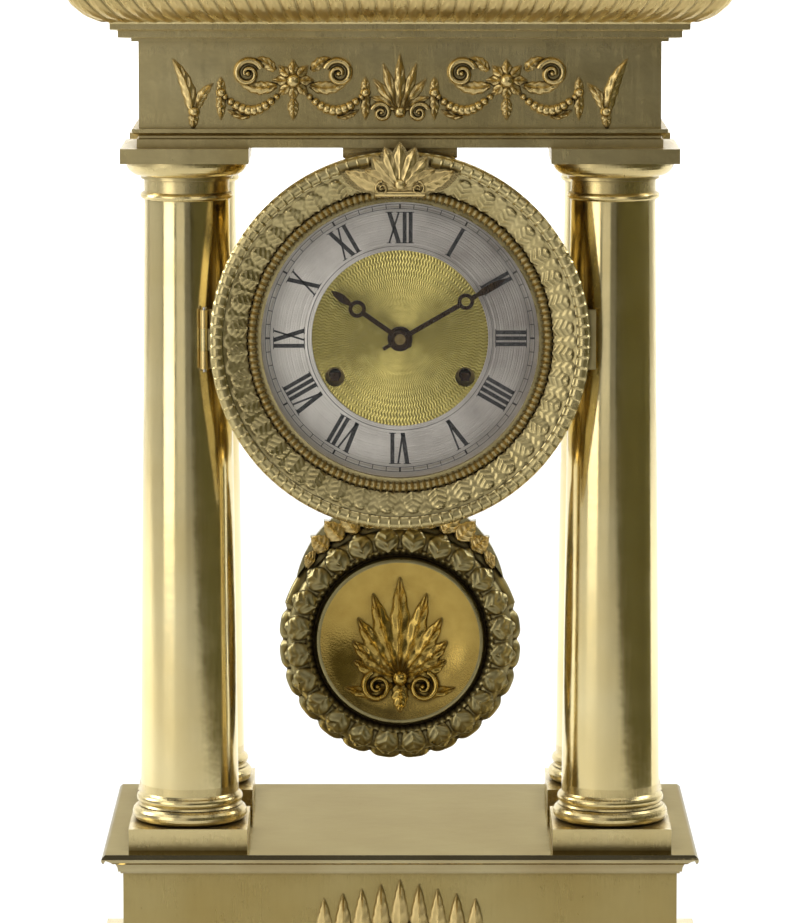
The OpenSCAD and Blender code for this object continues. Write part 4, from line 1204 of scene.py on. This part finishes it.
# %% Lights
WARM, COOL = (1.0, 0.98, 0.95), (0.97, 0.98, 1.0)
LIGHTS = (
    # name, place, aim, width, height, watts, colour
    ("tall_left", (-1.16, -1.04, 0.55), (0.0, 0.0, 0.25), 0.80, 1.6, 9.0, WARM),
    ("front_left", (-0.56, -1.80, 0.60), (0.0, 0.0, 0.30), 0.74, 1.2, 1.6, WARM),
    ("side_left", (-1.30, 0.05, 0.55), (0.0, 0.0, 0.25), 1.20, 1.6, 1.1, WARM),
    ("right_high", (0.58, -1.45, 0.98), (0.0, 0.0, 0.27), 0.7, 0.5, 1.7, WARM),
    ("top", (0.15, -0.75, 1.5), (0.0, 0.0, 0.25), 1.4, 0.8, 3.6, WARM),
    ("backdrop_left", (-1.3, 0.35, 1.1), (0.0, 1.6, 0.6), 0.8, 1.4, 26.5, COOL),
    ("backdrop_right", (1.3, 0.35, 1.1), (0.0, 1.6, 0.6), 0.8, 1.4, 26.5, COOL),
    ("far_floor", (0.0, 4.9, 2.8), (0.0, 4.9, 0.0), 3.4, 6.4, 330.0, COOL),
    ("left_floor", (-4.6, 0.0, 2.8), (-4.6, 0.0, 0.0), 3.0, 3.0, 36.0, COOL),
    ("right_floor", (4.6, 0.0, 2.8), (4.6, 0.0, 0.0), 3.0, 3.0, 45.0, COOL),
)
WORLD_STRENGTH = 0.11


def soft_light(name, place, aim, width, height, watts, colour):
    lamp = bpy.data.lights.new(name, "AREA")
    lamp.shape = "RECTANGLE"
    lamp.size, lamp.size_y = width, height
    lamp.energy = watts
    lamp.color = colour
    made = in_scene(name, lamp)
    made.location = place
    made.rotation_euler = (Vector(aim) - Vector(place)).to_track_quat("-Z", "Y").to_euler()
    made.visible_camera = False


for row in LIGHTS:
    soft_light(*row)
world = bpy.data.worlds.new("studio")
world.use_nodes = True
air = world.node_tree.nodes["Background"]
air.inputs["Color"].default_value = (1.0, 0.99, 0.97, 1.0)
air.inputs["Strength"].default_value = WORLD_STRENGTH
bpy.context.scene.world = world
print("lights", len(LIGHTS), "watts", sum(row[5] for row in LIGHTS))


# %% [markdown]
# ## Camera
# The photograph was taken from straight in front and a little above, with little perspective:
# the top of the base plate shows as a thin band. Its distance and tilt were fitted to the
# columns' spacing in front and behind, and the long lens gives the photograph's frame.
# The Standard view transform keeps the backdrop white.

# %% Camera
CAMERA_PLACE = (0.0, -2.1117, 0.5096)
CAMERA_TILT = 82.18
LENS = 253.4
lens = bpy.data.cameras.new("photo_view")
lens.sensor_fit = "HORIZONTAL"
lens.sensor_width = 36.0
lens.lens = LENS
lens.clip_start = 0.1
lens.clip_end = 20.0
camera = in_scene("photo_view", lens)
camera.location = CAMERA_PLACE
camera.rotation_euler = (radians(CAMERA_TILT), 0.0, 0.0)
bpy.context.scene.camera = camera
bpy.context.scene.view_settings.view_transform = "Standard"
print("camera", tuple(round(c, 4) for c in camera.location))
